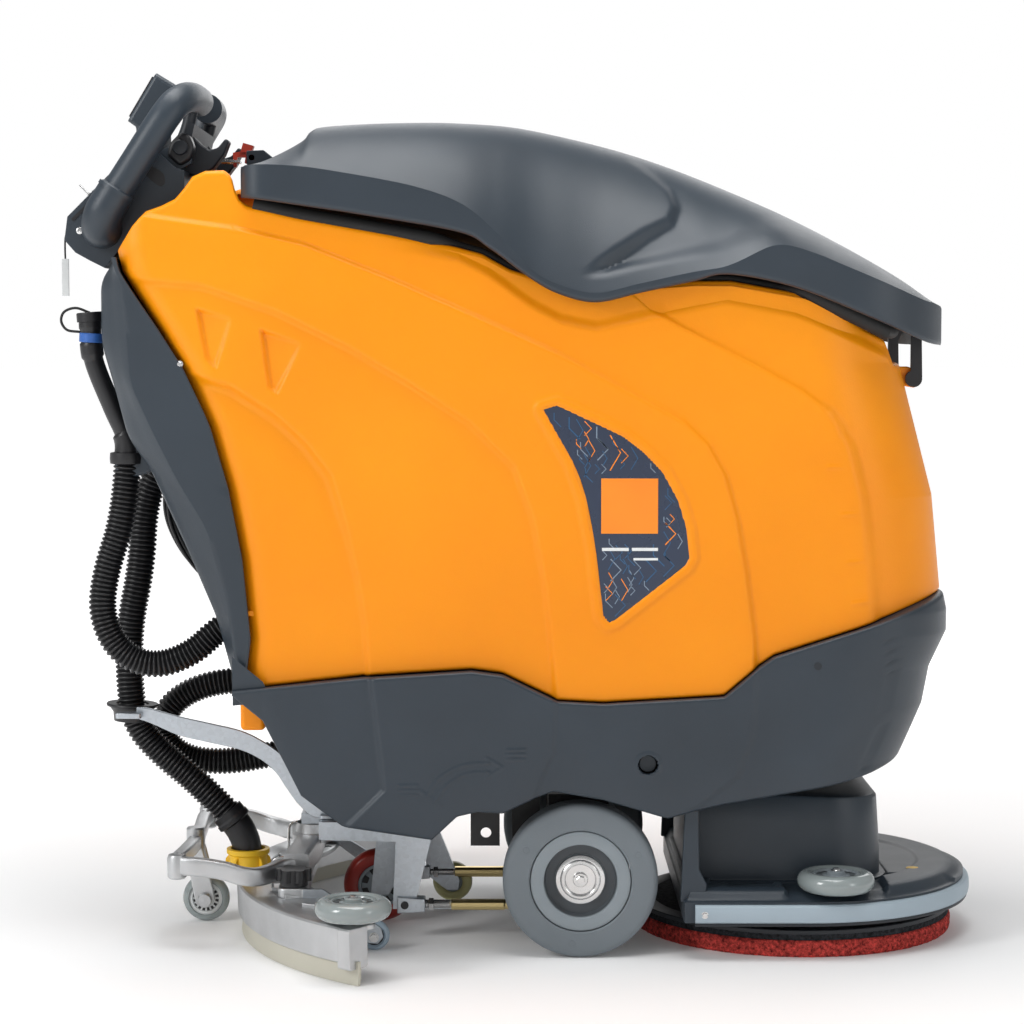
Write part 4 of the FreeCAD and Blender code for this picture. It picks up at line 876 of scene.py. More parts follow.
def skirt():
    """The dark lower body, creased over the wheel and in front, with its flange under the tank."""
    shell = Shell(SKIRT_HALF, 0.0, NOSE_ROUND, 330, 12, 16, rear_face=False)
    shares = np.linspace(0, 1, 110)
    rear = mm([(-444, 100), (-444, 1200)])
    low = np.vstack([SKIRT_LOWER, mm([(490, 250)])])
    high = TANK_BOTTOM.copy()
    high[0] = (-0.445, 0.3475)
    high = np.vstack([high, mm([(490, 468)])])
    x, z = shell.solve(rear, SKIRT_FRONT, low, high, shares)
    side = np.clip(shell.table[:, 5:6], 0, 1) * np.ones_like(x)
    bottom = np.interp(x, low[:, 0], low[:, 1])
    top = np.interp(x, high[:, 0], high[:, 1])
    inset = np.zeros_like(x)
    inset -= 0.0055 * signed_step(x, z, SKIRT_CREASE_REAR[::-1], 0.008)
    inset += 0.003 * signed_step(x, z, SKIRT_CREASE_ARCH[::-1], 0.008)
    inset -= 0.003 * (1 - signed_step(x, z, SKIRT_CREASE_FRONT[::-1], 0.01))
    tuck = np.clip(1 - (z - bottom) / 0.05, 0, 1)
    inset += 0.0028 * tuck ** 1.8
    for mark in LIFT_MARKS:
        dist, _ = polyline_distance(x, z, mark)
        inset -= 0.0009 * step(0.0016 - dist, 0.0014)
    inset *= side
    dist, _ = polyline_distance(x, z, SKIRT_SEAM)
    inset += 0.0035 * np.exp(-(dist / 0.0016) ** 2) * side
    hole = np.hypot(x - HOLE_AT[0], z - HOLE_AT[1])
    inset += 0.03 * step(0.0112 - hole, 0.0016)
    inset -= 0.0008 * step(0.0035 - np.abs(hole - 0.0135), 0.003)
    inset += rounding(top - z, 0.005)
    inset += rounding(z - bottom, 0.004)
    outer = shell.place(x, z, inset)
    inner_top = shell.place(x[:, -1:], z[:, -1:] - 0.001, inset[:, -1:] + 0.006)
    inner_top2 = shell.place(x[:, -1:], z[:, -1:] - 0.02, inset[:, -1:] + 0.007)
    inner_low = shell.place(x[:, :1], z[:, :1] + 0.001, inset[:, :1] + 0.004)
    inner_low2 = shell.place(x[:, :1], z[:, :1] + 0.05, inset[:, :1] * 0 + 0.006)
    # a flange under the tank's lower edge closes the gap between the two
    ledge = [shell.place(x[:, -1:], z[:, -1:] - drop, inset[:, -1:] + back)
             for drop, back in ((0.002, 0.036), (0.005, 0.036), (0.0055, 0.007))]
    grid = np.concatenate([inner_top2, inner_low2, inner_low, outer, inner_top] + ledge + [inner_top2], axis=1)
    body = mirrored_grid("skirt_moulding", [grid], SLATE, "chassis", angle=50)
    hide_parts("base_skirt", "front_cover")
    for s, side in SIDES:
        # painted shade: a black cup in each side hole stands in for the shade inside it
        lathe("skirt_hole_shade_" + side,
              [(0.0135, 0.0002), (0.013, 0.001), (0.0112, 0.0008), (0.0106, -0.002), (0.01, -0.024),
               (0, -0.024)], (HOLE_AT[0], s * (SKIRT_HALF + 0.0002), HOLE_AT[1]), (0, s, 0), HOLE_SHADE, "chassis",
              steps=48)


PANEL_OUT = mm([(-446, 352), (-468, 435), (-500, 512), (-552, 628), (-580, 667), (-596, 729), (-613, 789),
                (-613, 869), (-606, 880), (-591, 897)])
PANEL_RIDGE = mm([(-436, 352), (-452, 463), (-478, 553), (-516, 617), (-548, 681), (-573, 738), (-577, 790),
                  (-584, 856), (-588, 897)])
PANEL_HALF = 215 * MM
CHANNEL_HALF = 170 * MM


def rear_panel():
    """The dark panel behind the tank: a ridge down each side and a channel for the hoses between."""
    zs = np.linspace(0.352, 0.897, 90)
    out = np.interp(zs, PANEL_OUT[:, 1], PANEL_OUT[:, 0])
    ridge = np.interp(zs, PANEL_RIDGE[:, 1], PANEL_RIDGE[:, 0])
    kernel = np.ones(5) / 5
    for line in (out, ridge):
        line[2:-2] = np.convolve(line, kernel, "valid")
    tank = np.interp(zs, TANK_REAR[:, 1], TANK_REAR[:, 0]) - 0.002
    ridge = np.minimum(np.maximum(ridge, out + 0.004), tank - 0.003)
    skin = tank - 0.012
    rows = []

    def column(x, y):
        rows.append(np.stack([x, np.full_like(zs, -y), zs], axis=-1))

    lap = 1 - 0.8 * np.clip((zs - 0.7) / 0.17, 0, 1)
    column(tank + 0.004 * lap, PANEL_HALF - 0.012)
    column(tank + 0.011 * lap, PANEL_HALF - 0.002)
    column(tank + 0.0105 * lap, PANEL_HALF + 0.001)
    column(tank + 0.0085 * lap, PANEL_HALF + 0.002)
    for share in (0.25, 0.5, 0.75):
        column(tank + 0.0075 * lap + (ridge - tank - 0.0075 * lap) * share, PANEL_HALF + 0.002 - 0.001 * share)
    column(ridge + 0.002, PANEL_HALF + 0.0008)
    column(ridge - 0.001, PANEL_HALF - 0.001)
    for share in (0.3, 0.6, 0.9):
        column(ridge + (out - ridge) * share, PANEL_HALF - 0.001 - 0.032 * share)
    column(out, PANEL_HALF - 0.037)
    column(out - 0.0005, PANEL_HALF - 0.04)
    column(out + 0.001, CHANNEL_HALF + 0.006)
    column(out + 0.005, CHANNEL_HALF + 0.001)
    for share in (0.3, 0.6, 0.92):
        column(out + (skin - out) * share + 0.003, CHANNEL_HALF - 0.001)
    column(skin, CHANNEL_HALF - 0.006)
    for y in np.linspace(CHANNEL_HALF - 0.02, 0, 12):
        rib = 0.0025 if abs(y - 0.09) < 0.012 else 0.0
        column(skin - rib, y)
    grid = np.stack(rows, axis=0)
    panel = mirrored_grid("rear_panel_moulding", [grid], SLATE, "chassis", angle=28)
    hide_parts("rear_panel")


solution_tank()
hood()
skirt()
rear_panel()


# ------------------------------------------------------------------ materials of the CAD pieces that stay
def fibre_pad(name, colour, depth):
    """Open non-woven fibre: bright, rough strands, with the gaps between them painted dark as shade."""
    m, tree, shader = new_material(name, 0.85, specular=0.2)
    clumps = noise(tree, 190.0, 6.0, 0.75)
    # painted shade: the ramp's low end paints the gaps between strands dark, as the shade in the pad's depths
    tint = ramp(tree, clumps, [(0.36, shade(colour, 0.12)), (0.5, colour), (0.66, shade(colour, 1.9))])
    tree.links.new(tint, shader.inputs["Base Color"])
    bump(tree, shader, noise(tree, 240.0, 6.0, 0.8), depth)
    bump(tree, shader, noise(tree, 70.0, 4.0, 0.6), depth)
    return m


PAD_RED = fibre_pad("pad_red", (0.5, 0.055, 0.045), 0.0022)
HOLDER_BLACK = fibre_pad("holder_fibre", (0.022, 0.024, 0.028), 0.001)
CHASSIS_PAINT = moulded("chassis_paint", (0.01, 0.01, 0.011), 0.5, 300.0, 0.0002)
MOTOR = cast_metal("motor_metal", (0.3, 0.31, 0.33), 0.45, 300.0, 0.0002)
GREEN = moulded("green_plastic", (0.02, 0.3, 0.08), 0.35, 400.0, 0.0001)
TUB_GREY = moulded("recovery_grey", (0.2, 0.21, 0.22), 0.5, 420.0, 0.0003)
BATTERY = moulded("battery_case", (0.02, 0.022, 0.026), 0.45, 500.0, 0.0002)
CLEAR_GREY = moulded("roller_polyurethane", (0.36, 0.41, 0.41), 0.2, 250.0, 0.00005, vary=0.06, coat=0.5)
CLEAR_GREY.node_tree.nodes["Principled BSDF"].inputs["Transmission Weight"].default_value = 0.25
PALE_BLUE = moulded("support_wheel_blue", (0.33, 0.42, 0.5), 0.4, 400.0, 0.00008)

CAD_LOOKS = {
    "chassis_frame": (CHASSIS_PAINT, 0.001), "battery_pack": (BATTERY, 0.003), "suction_motor": (MOTOR, 0.002),
    "drive_unit": (MOTOR, 0.002), "deck_actuator": (BLACK, 0.002), "actuator_rod": (STEEL, 0.0004),
    "brush_motor": (MOTOR, 0.002), "lock_bar": (STEEL, 0.0008), "console_housing": (SLATE, 0.003),
    "display_unit": (SLATE, 0.0055), "drive_paddle": (SLATE_DARK, 0.0012),
    "start_button": (GREEN, 0.0008), "key_switch": (STEEL, 0.0004), "key_tag": (WHITE, 0.0006),
    "hood_hook": (RED_TRIM, 0.0012), "hood_hinge_straps": (BLACK, 0.001),
    "body_screws": (SLATE_DARK, 0.0), "caster_fork": (ZINC, 0.001), "tow_frame": (ZINC, 0.0008),
    "left_star_knob": (BLACK, 0.0012), "right_star_knob": (BLACK, 0.0012), "drain_cap": (BLACK, 0.001),
    "deck_bumper": (BUMPER, 0.0015), "pad_holder": (HOLDER_BLACK, 0.001),
}


def dress_cad_pieces():
    """Give each CAD node that stays in view its material and softened edges."""
    for node, (material, width) in CAD_LOOKS.items():
        obj = NODES[node]
        for slot in obj.material_slots:
            slot.link = "OBJECT"
            slot.material = material
        if width:
            weld = obj.modifiers.new("weld", "WELD")
            weld.merge_threshold = 0.00002
            bevelled(obj, width, 3, 38)
            smooth = obj.modifiers.new("weighted", "WEIGHTED_NORMAL")
            smooth.keep_sharp = True


# ------------------------------------------------------------------ wheels and rollers
def ring_of(points, count, centre, axis, name, material, body):
    """Copies of a closed slot outline (radius, angle share) laid flat round an axis, as one mesh."""
    u, v, _ = axis_frame(axis)
    c = Vector(centre)
    verts, faces = [], []
    for k in range(count):
        base = len(verts)
        verts += [c + around(u, v, TURN * (k + share) / count) * r for r, share in points]
        faces.append(tuple(range(base, base + len(points))))
    return add_mesh(name, verts, faces, material, body, smooth=False)


def roller(node, body, centre, axis, r, width, tread, hub, slots=14, hub_share=0.62, round_edge=0.9):
    """A moulded roller: a rounded tyre, a hub disc with a ring of slots on each face, a boss and a bolt."""
    h = width / 2
    hub_r = r * hub_share
    edge = min(h, r * 0.3) * round_edge
    tyre = [(hub_r, -h * 0.86), (hub_r + 0.002, -h * 0.97)]
    for a in range(0, 181, 15):
        t = math.radians(a)
        tyre.append((r - edge + edge * math.sin(t), -h + edge - edge * math.cos(t) + (2 * h - 2 * edge) * a / 180))
    tyre += [(hub_r + 0.002, h * 0.97), (hub_r, h * 0.86), (hub_r, h * 0.5)]
    tyre_obj = lathe(node + "_tread", tyre, centre, axis, tread, body, steps=72, angle=50)
    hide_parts(node)
    hub_profile = []
    for sign in (-1, 1):
        side = [(hub_r + 0.0004, h * 0.74), (hub_r - 0.0015, h * 0.8), (hub_r - 0.004, h * 0.8),
                (hub_r - 0.005, h * 0.62), (hub_r * 0.42, h * 0.62), (hub_r * 0.38, h * 0.66),
                (hub_r * 0.36, h * 0.98), (hub_r * 0.32, h * 1.04), (0, h * 1.04)]
        hub_profile += side if sign > 0 else [(p, -q) for p, q in side[::-1]]
    lathe(node + "_hub", hub_profile, centre, axis, hub, body, steps=64)
    w = Vector(axis).normalized()
    for sign, face in ((-1, "b"), (1, "a")):
        slot = [(hub_r * 0.58, 0.14), (hub_r * 0.6, 0.08), (hub_r * 0.84, 0.1), (hub_r * 0.87, 0.2),
                (hub_r * 0.87, 0.8), (hub_r * 0.84, 0.9), (hub_r * 0.6, 0.92), (hub_r * 0.58, 0.86)]
        inner = [(p, 0.5 + (q - 0.5) * 0.72) for p, q in slot]
        ring_of(inner, slots, Vector(centre) + w * (sign * (h * 0.62 + 0.0002)), axis,
                node + "_slots_" + face, BLACK, body)
        bolt(node + "_bolt_" + face, Vector(centre) + w * (sign * h * 1.03),
             Vector(axis) * sign, r * 0.1, r * 0.07, STEEL, body)


DECK_ROLLER_AT = (0.33, 0.196)          # X and distance from the middle
SQUEEGEE_ROLLER_AT = (-0.285, 0.33)
SUPPORT_AT = (-0.267, 0.171, 0.02)
WHEEL_Y = 0.194
WHEEL_R = 0.1


def drive_wheel(s, side):
    """Solid tyre, dished rim, turned hub cap and its bolt."""
    body = side + "_wheel"
    centre = (0, s * WHEEL_Y, WHEEL_R)
    out = (0, s, 0)
    tread = [(0.0655, 0.018), (0.0655, 0.0238), (0.0672, 0.025), (0.069, 0.025), (0.09, 0.025),
             (0.0935, 0.0244), (0.0968, 0.0225), (0.0988, 0.0195), (0.0998, 0.015), (0.1, 0.01)]
    for groove in (0.006, -0.006):
        tread += [(0.1, groove + 0.0013), (0.0985, groove + 0.0008), (0.0985, groove - 0.0008),
                  (0.1, groove - 0.0013)]
    tread += [(0.1, -0.01), (0.0998, -0.015), (0.0988, -0.0195), (0.0968, -0.0225), (0.0935, -0.0244),
              (0.09, -0.025), (0.0672, -0.025), (0.0655, -0.0238)]
    tyre = lathe(side + "_tyre_moulding", tread, centre, out, TYRE, body, steps=160, angle=30)
    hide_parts(side + "_tyre")
    rim_profile = [(0, -0.02), (0.045, -0.02), (0.06, -0.0235), (0.0648, -0.0235), (0.0648, 0.0205),
                   (0.064, 0.0228), (0.0625, 0.0236), (0.06, 0.024), (0.05, 0.024), (0.0482, 0.0236),
                   (0.0472, 0.0225), (0.0468, 0.02), (0.046, 0.0085), (0.045, 0.007), (0.033, 0.007),
                   (0.0325, 0.0062), (0, 0.0062)]
    rim = lathe(side + "_rim_moulding", rim_profile, centre, out, RIM, body, steps=128, angle=28)
    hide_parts(side + "_rim")
    # painted shade: a darker ring laid in the rim's dish
    lathe(side + "_dish_shade", [(0.0463, 0.019), (0.0455, 0.009), (0.0446, 0.0076), (0.0332, 0.0076)],
          centre, out, RIM_DISH_SHADE, body, steps=96)
    cap = [(0.032, 0.0062), (0.032, 0.011), (0.0314, 0.0122), (0.03, 0.0128), (0.0262, 0.013),
           (0.0252, 0.015), (0.024, 0.0158), (0.0215, 0.016), (0.0205, 0.0154), (0.0198, 0.0118),
           (0.019, 0.0108), (0.01, 0.0108), (0.0095, 0.0112), (0.0088, 0.0142), (0.007, 0.015),
           (0, 0.015)]
    hub = lathe(side + "_hub_cap_turned", cap, centre, out, STEEL, body, steps=96, angle=28)
    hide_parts(side + "_hub_cap")
    bolt(side + "_axle_bolt", (0, s * (WHEEL_Y + 0.0148), WHEEL_R), out, 0.0062, 0.005, STEEL, body)
    # valve-like moulding marks on the tyre's face
    mark_r = 0.081
    for k, a in enumerate((25, 150, 262)):
        t = math.radians(a)
        at = (mark_r * math.cos(t), s * (WHEEL_Y + 0.025), WHEEL_R + mark_r * math.sin(t))
        lathe("%s_tyre_mark_%d" % (side, k), [(0.0046, 0), (0.0046, 0.0004), (0.0036, 0.0007), (0.0034, 0.0004),
                                              (0.0012, 0.0004), (0, 0.0006)], at, out, TYRE, body, steps=24)


def wheels():
    """The drive wheels and every roller and small wheel, each on its own body."""
    for s, side in SIDES[::-1]:
        drive_wheel(s, side)
        roller(side + "_deck_roller", side + "_deck_roller_body",
               (DECK_ROLLER_AT[0], s * DECK_ROLLER_AT[1], 0.0968), UP, 0.05, 0.025, CLEAR_GREY, RIM, slots=16)
        roller(side + "_squeegee_roller", side + "_squeegee_roller_body",
               (SQUEEGEE_ROLLER_AT[0], s * SQUEEGEE_ROLLER_AT[1], 0.0908), UP, 0.048, 0.025, CLEAR_GREY,
               CLEAR_GREY, slots=16)
        roller(side + "_support_wheel", side + "_support_body",
               (SUPPORT_AT[0], s * SUPPORT_AT[1], SUPPORT_AT[2]), (0, 1, 0), 0.02, 0.014, PALE_BLUE, BLACK, slots=6)
    roller("squeegee_rear_wheel", "rear_wheel_body", node_centre("squeegee_rear_wheel"), (0, 1, 0), 0.032,
           0.022, CLEAR_GREY, WHITE, slots=16, hub_share=0.7)
    roller("caster_wheel", "caster_wheel_body", node_centre("caster_wheel"), (0, 1, 0), 0.05, 0.03,
           RED, RIM, slots=8, hub_share=0.6, round_edge=0.5)
    roller("guide_wheel", "guide_wheel_body", node_centre("guide_wheel"), (0, 1, 0), 0.028, 0.022, OLIVE,
           RIM, slots=6, hub_share=0.5)


def node_centre(node):
    """Middle of a CAD node's box."""
    low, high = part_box(node)
    return (Vector(low) + Vector(high)) / 2


# ------------------------------------------------------------------ deck
DECK_AT = (0.293, 0.0)
DECK_R = 0.232
DECK_REAR_X = 0.132


def deck_reach(a):
    """Distance from the deck's centre to its edge: round in front, straight sides behind."""
    c, s = math.cos(a), math.sin(a)
    if c >= 0:
        return DECK_R
    return min(DECK_R / max(abs(s), 1e-6), (DECK_AT[0] - DECK_REAR_X) / -c)


def deck_path(offset, rear_x, spacing=0.004):
    """The U-shaped line round the deck, from one rear end to the other."""
    points = []
    n = int((DECK_AT[0] - rear_x) / spacing)
    r = DECK_R + offset
    for k in range(n):
        points.append((rear_x + (DECK_AT[0] - rear_x) * k / n, -r))
    m = int(math.pi * r / spacing)
    for k in range(m + 1):
        a = -math.pi / 2 + math.pi * k / m
        points.append((DECK_AT[0] + r * math.cos(a), r * math.sin(a)))
    for k in range(n):
        points.append((DECK_AT[0] + (rear_x - DECK_AT[0]) * (k + 1) / n, r))
    return points


def deck_strip(name, profile, rear_x, material, node=None):
    """A moulded strip along the deck's edge; profile is (outwards, height)."""
    rows = [np.array(deck_path(out, rear_x)) for out, _ in profile]
    count = min(len(r) for r in rows)
    rows = [r[np.linspace(0, len(r) - 1, count).round().astype(int)] for r in rows]
    verts = [(row[i][0], row[i][1], z) for i in range(count) for row, (_, z) in zip(rows, profile)]
    strip = add_mesh(name, verts, tube_faces(count, len(profile)), material, "deck", angle=35)
    if node:
        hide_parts(node)
    return strip


def rounded_plan(x0, x1, half, rear_r, front_r, n=14):
    """A closed plan outline, symmetrical about Y = 0, with rounded corners."""
    out = []
    for cx, cy, r, a0 in ((x0 + rear_r, half - rear_r, rear_r, 90), (x0 + rear_r, -half + rear_r, rear_r, 180),
                          (x1 - front_r, -half + front_r, front_r, 270), (x1 - front_r, half - front_r, front_r, 0)):
        for k in range(n + 1):
            a = math.radians(a0 + 90 * k / n)
            out.append((cx + r * math.cos(a), cy + r * math.sin(a)))
    return np.array(out)


def loft(name, outlines, material, body, top=True, angle=35):
    """Closed plan outlines, each with heights, joined one above another."""
    verts = []
    n = len(outlines[0][0])
    for outline, z in outlines:
        zs = np.full(n, z) if np.isscalar(z) else z
        verts += [(x, y, h) for (x, y), h in zip(outline, zs)]
    faces = tube_faces(len(outlines), n, caps=False)
    if top:
        faces.append(tuple(range(len(verts) - n, len(verts))))
    return add_mesh(name, verts, faces, material, body, angle=angle)


def deck():
    """The brush deck: its pan, the hump over the motor, side plates, bumper and small fittings."""
    spokes, rings = 260, 90
    cx, cy = DECK_AT
    verts = []
    for i in range(spokes):
        a = TURN * i / spokes
        reach = deck_reach(a)
        for j in range(rings):
            share = (j + 1) / rings
            r = reach * share
            x, y = cx + r * math.cos(a), cy + r * math.sin(a)
            edge = reach - r
            z = 0.0835
            # raised apron round the front and sides, cut away at each roller
            apron = step(edge - 0.01, 0.012) * step(0.062 - edge, 0.006)
            slot = max(abs(x - 0.33) - 0.066, abs(abs(y) - 0.19) - 0.075)
            apron *= step(slot, 0.005)
            z += 0.0075 * apron
            step_plate = step(x - 0.408, 0.005) * step(0.105 - abs(y), 0.005)
            z += 0.0045 * step_plate * (1 - apron)
            dip = step(-max(abs(x - 0.222) - 0.03, abs(abs(y) - 0.185) - 0.022), 0.004)
            z -= 0.003 * dip
            z -= 0.0075 * step(0.014 - edge, 0.028)
            verts.append((x, y, z))
        for z, back in ((0.0725, 0.0), (0.07, 0.0), (0.05, 0.0), (0.049, 0.001), (0.049, 0.006),
                        (0.07, 0.008)):
            r = reach - back
            verts.append((cx + r * math.cos(a), cy + r * math.sin(a), z))
    per = rings + 6
    faces = grid_faces(spokes, per, closed=True)
    verts.append((cx, cy, 0.0835))
    for i in range(spokes):
        faces.append((len(verts) - 1, ((i + 1) % spokes) * per, i * per))
    pan = add_mesh("deck_moulding", verts, faces, SLATE, "deck", angle=30)
    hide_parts("deck_housing")
    # motor hump: tall box with a sloping lid, and a lower collar round its foot
    def lid_height(outline):
        return 0.199 - 0.01 * np.clip(outline[:, 0] - 0.14, 0, 1) / 0.25

    hump = []
    for inset, z in ((0.0, 0.084), (0.0012, 0.0865), (0.0015, 0.09)):
        hump.append((rounded_plan(0.14 + inset, 0.404 - inset, 0.15 - inset, 0.012, 0.075), z))
    for share in (0.35, 0.7, 1.0):
        back = 0.0015 + 0.014 * share
        outline = rounded_plan(0.14 + back * 0.2, 0.404 - back * 0.4, 0.15 - back * 0.5, 0.012, 0.07)
        hump.append((outline, 0.09 + (lid_height(outline) - 0.09) * share))
    for back, up in ((0.01, 0.0035), (0.013, 0.0048), (0.035, 0.006)):
        outline = rounded_plan(0.14 + back * 0.2, 0.404 - back, 0.15 - back, 0.01, 0.065)
        hump.append((outline, lid_height(outline) + up))
    loft("deck_hump", hump, SLATE, "deck", angle=30)
    wide = rounded_plan(0.136, 0.41, 0.155, 0.012, 0.078)
    narrow = rounded_plan(0.139, 0.406, 0.152, 0.012, 0.078)
    loft("hump_foot", [(wide, 0.0832), (wide, 0.0862), (narrow, 0.0872)], SLATE, "deck", angle=30)
    for s, side in SIDES:
        plate = mm([(128, 74), (160, 74), (162, 96), (152, 116), (150, 200), (160, 214), (140, 208), (133, 190)])
        prism("deck_side_plate_" + side, plate, *span(s, 0.212, 0.22), SLATE, "deck", 0.002)
        web = mm([(146, 84), (152, 84), (152, 196), (146, 196)])
        prism("deck_web_" + side, web, *span(s, 0.15, 0.212), SLATE_DARK, "deck", 0.001)
        bolt("bumper_screw_" + side, (0.158, s * 0.2396, 0.0612), (0, s, 0), 0.0034,
             0.0022, STEEL, "deck")
        lathe("deck_roller_pin_" + side,
              [(0.012, 0.0), (0.012, 0.002), (0.006, 0.003), (0.006, 0.027), (0.0048, 0.0285), (0, 0.0285)],
              (DECK_ROLLER_AT[0], s * DECK_ROLLER_AT[1], 0.083), UP, STEEL, "deck", steps=32)
    strip = [(0.0, 0.0495), (0.005, 0.05), (0.0072, 0.052), (0.008, 0.056), (0.0082, 0.061),
             (0.0078, 0.067), (0.0068, 0.071), (0.0045, 0.0728), (0.0, 0.073)]
    bumper = deck_strip("bumper_strip", strip, 0.146, BUMPER, "deck_bumper")
    deck_strip("bumper_lower_lip", [(-0.001, 0.0455), (0.0046, 0.0458), (0.0056, 0.0475), (0.0052, 0.0498),
                                    (-0.001, 0.0498)], 0.146, SLATE_DARK)
    lathe("deck_level_dot", [(0.0085, 0.0), (0.0085, 0.0008), (0.0078, 0.0013), (0, 0.0014)],
          (0.446, -0.085, 0.0897), UP, YELLOW, "deck", steps=32)


def brush_pad():
    """The fibre pad and its holder, both with an uneven edge."""
    steps = 360

    def ragged(name, r, z0, z1, jitter, material, hole):
        profile = []
        for k in range(9):
            t = k / 8
            profile.append((r - 0.0022 * (2 * t - 1) ** 4, z0 + (z1 - z0) * t))
        profile = [(hole, z0), (r * 0.6, z0)] + profile + [(r * 0.6, z1), (hole, z1), (hole, z0)]
        verts = []
        for k in range(steps):
            a = TURN * k / steps
            for i, (rr, z) in enumerate(profile):
                ragged_edge = 2 <= i <= 10
                d = random.uniform(-jitter, jitter * 0.2) if ragged_edge else 0
                dz = random.uniform(0, jitter * 0.4) if ragged_edge and z > z0 + 0.001 and z < z1 - 0.001 else 0
                verts.append((DECK_AT[0] + (rr + d) * math.cos(a), (rr + d) * math.sin(a), z + dz))
        return add_mesh(name, verts, grid_faces(steps, len(profile), closed=True), material, "pad_drive", angle=60)

    pad = ragged("scrub_pad", 0.2155, 0.0004, 0.0218, 0.0013, PAD_RED, 0.03)
    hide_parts("floor_pad")
    ragged("holder_hooks", 0.213, 0.0224, 0.029, 0.0006, HOLDER_BLACK, 0.16)
    lathe("holder_ring", [(0.19, 0.029), (0.2118, 0.029), (0.2132, 0.03), (0.2132, 0.0345), (0.212, 0.0356),
                          (0.19, 0.0358), (0.186, 0.034), (0.19, 0.029)], (DECK_AT[0], 0, 0), UP,
          SLATE_DARK, "pad_drive", steps=160)


dress_cad_pieces()
wheels()
deck()
brush_pad()


# ------------------------------------------------------------------ badge and marks on the tank
NAVY = moulded("badge_navy", (0.01, 0.022, 0.055), 0.28, 300.0, 0.00003, coat=0.4)
BADGE_GREY = moulded("badge_grey", (0.2, 0.26, 0.34), 0.35, 300.0, 0.00003)
BADGE_BLUE = moulded("badge_blue", (0.02, 0.09, 0.2), 0.35, 300.0, 0.00003)
BADGE_ORANGE = moulded("badge_orange", (0.95, 0.25, 0.01), 0.35, 300.0, 0.00003)


def stroke(points, width):
    """A closed outline of even width round an open line."""
    p = np.array(points, float)
    left, right = [], []
    for i in range(len(p)):
        d = p[min(i + 1, len(p) - 1)] - p[max(i - 1, 0)]
        n = np.array([-d[1], d[0]]) / max(np.hypot(*d), 1e-9)
        left.append(tuple(p[i] + n * width / 2))
        right.append(tuple(p[i] - n * width / 2))
    return left + right[::-1]


def badge():
    """A dark plate with loose arrowheads and a plain square, on both sides of the tank."""
    outline = smooth_line(BADGE, 4, closed=True)
    shapes = []
    for k in range(1100):
        size = random.choice((0.006, 0.009, 0.014))
        cx, cz = random.uniform(-0.05, 0.14), random.uniform(0.43, 0.71)
        steep = random.choice((1.0, 1.6))
        arm = [(cx - size * 0.5, cz + size * steep), (cx + size * 0.45, cz), (cx - size * 0.5, cz - size * steep)]
        if random.random() < 0.35:
            arm = [(cx, cz + size), (cx, cz), (cx + size, cz - size)]
        pts = np.array(arm)
        if (polygon_depth(pts[:, 0], pts[:, 1], outline) < 0.0035).any():
            continue
        if (np.abs(pts[:, 0] - 0.061) < 0.041).any() and (np.abs(pts[:, 1] - 0.583) < 0.04).any():
            continue
        if any(math.hypot(cx - qx, cz - qz) < 0.5 * (size + qs) for qx, qz, qs in [s[2:] for s in shapes]):
            continue
        tone = random.choice(("grey", "grey", "blue", "blue", "blue", "orange"))
        shapes.append((arm, tone, cx, cz, size))
    for s, side in SIDES:

        def plate(name, points, low, high, material, bevel=0.0):
            return prism(name + "_" + side, points, *span(s, TANK_HALF + low, TANK_HALF + high), material, "chassis",
                         bevel, 2)

        plate("badge_plate", outline, -0.0012, 0.0008, NAVY, 0.0003)
        plate("badge_square", mm([(25, 548), (97, 548), (97, 618), (25, 618)]), 0.0004, 0.0014, BADGE_ORANGE, 0.0003)
        for tone, material in (("grey", BADGE_GREY), ("blue", BADGE_BLUE), ("orange", BADGE_ORANGE)):
            verts, faces = [], []
            for arm, arm_tone, cx, cz, size in shapes:
                if arm_tone != tone:
                    continue
                loop = stroke(arm, 0.0011 if size < 0.012 else 0.0015)
                base = len(verts)
                verts += [(x, s * (TANK_HALF + 0.001), z) for x, z in loop]
                half = len(loop) // 2
                for i in range(half - 1):
                    faces.append((base + i, base + i + 1, base + len(loop) - 2 - i, base + len(loop) - 1 - i))
            if verts:
                add_mesh("badge_arrows_%s_%s" % (tone, side), verts, faces, material, "chassis", smooth=False)
        bars = [mm([(26, 526), (60, 526), (60, 530), (26, 530)]), mm([(64, 526), (97, 526), (97, 530), (64, 530)]),
                mm([(66, 514), (97, 514), (97, 517), (66, 517)])]
        for k, bar in enumerate(bars):
            plate("badge_bar_%d" % k, bar, 0.0004, 0.0012, WHITE)
        bolt("panel_screw_" + side, (-0.5085, s * 0.215, 0.7625), (0, s, 0), 0.0032, 0.003, STEEL, "chassis")


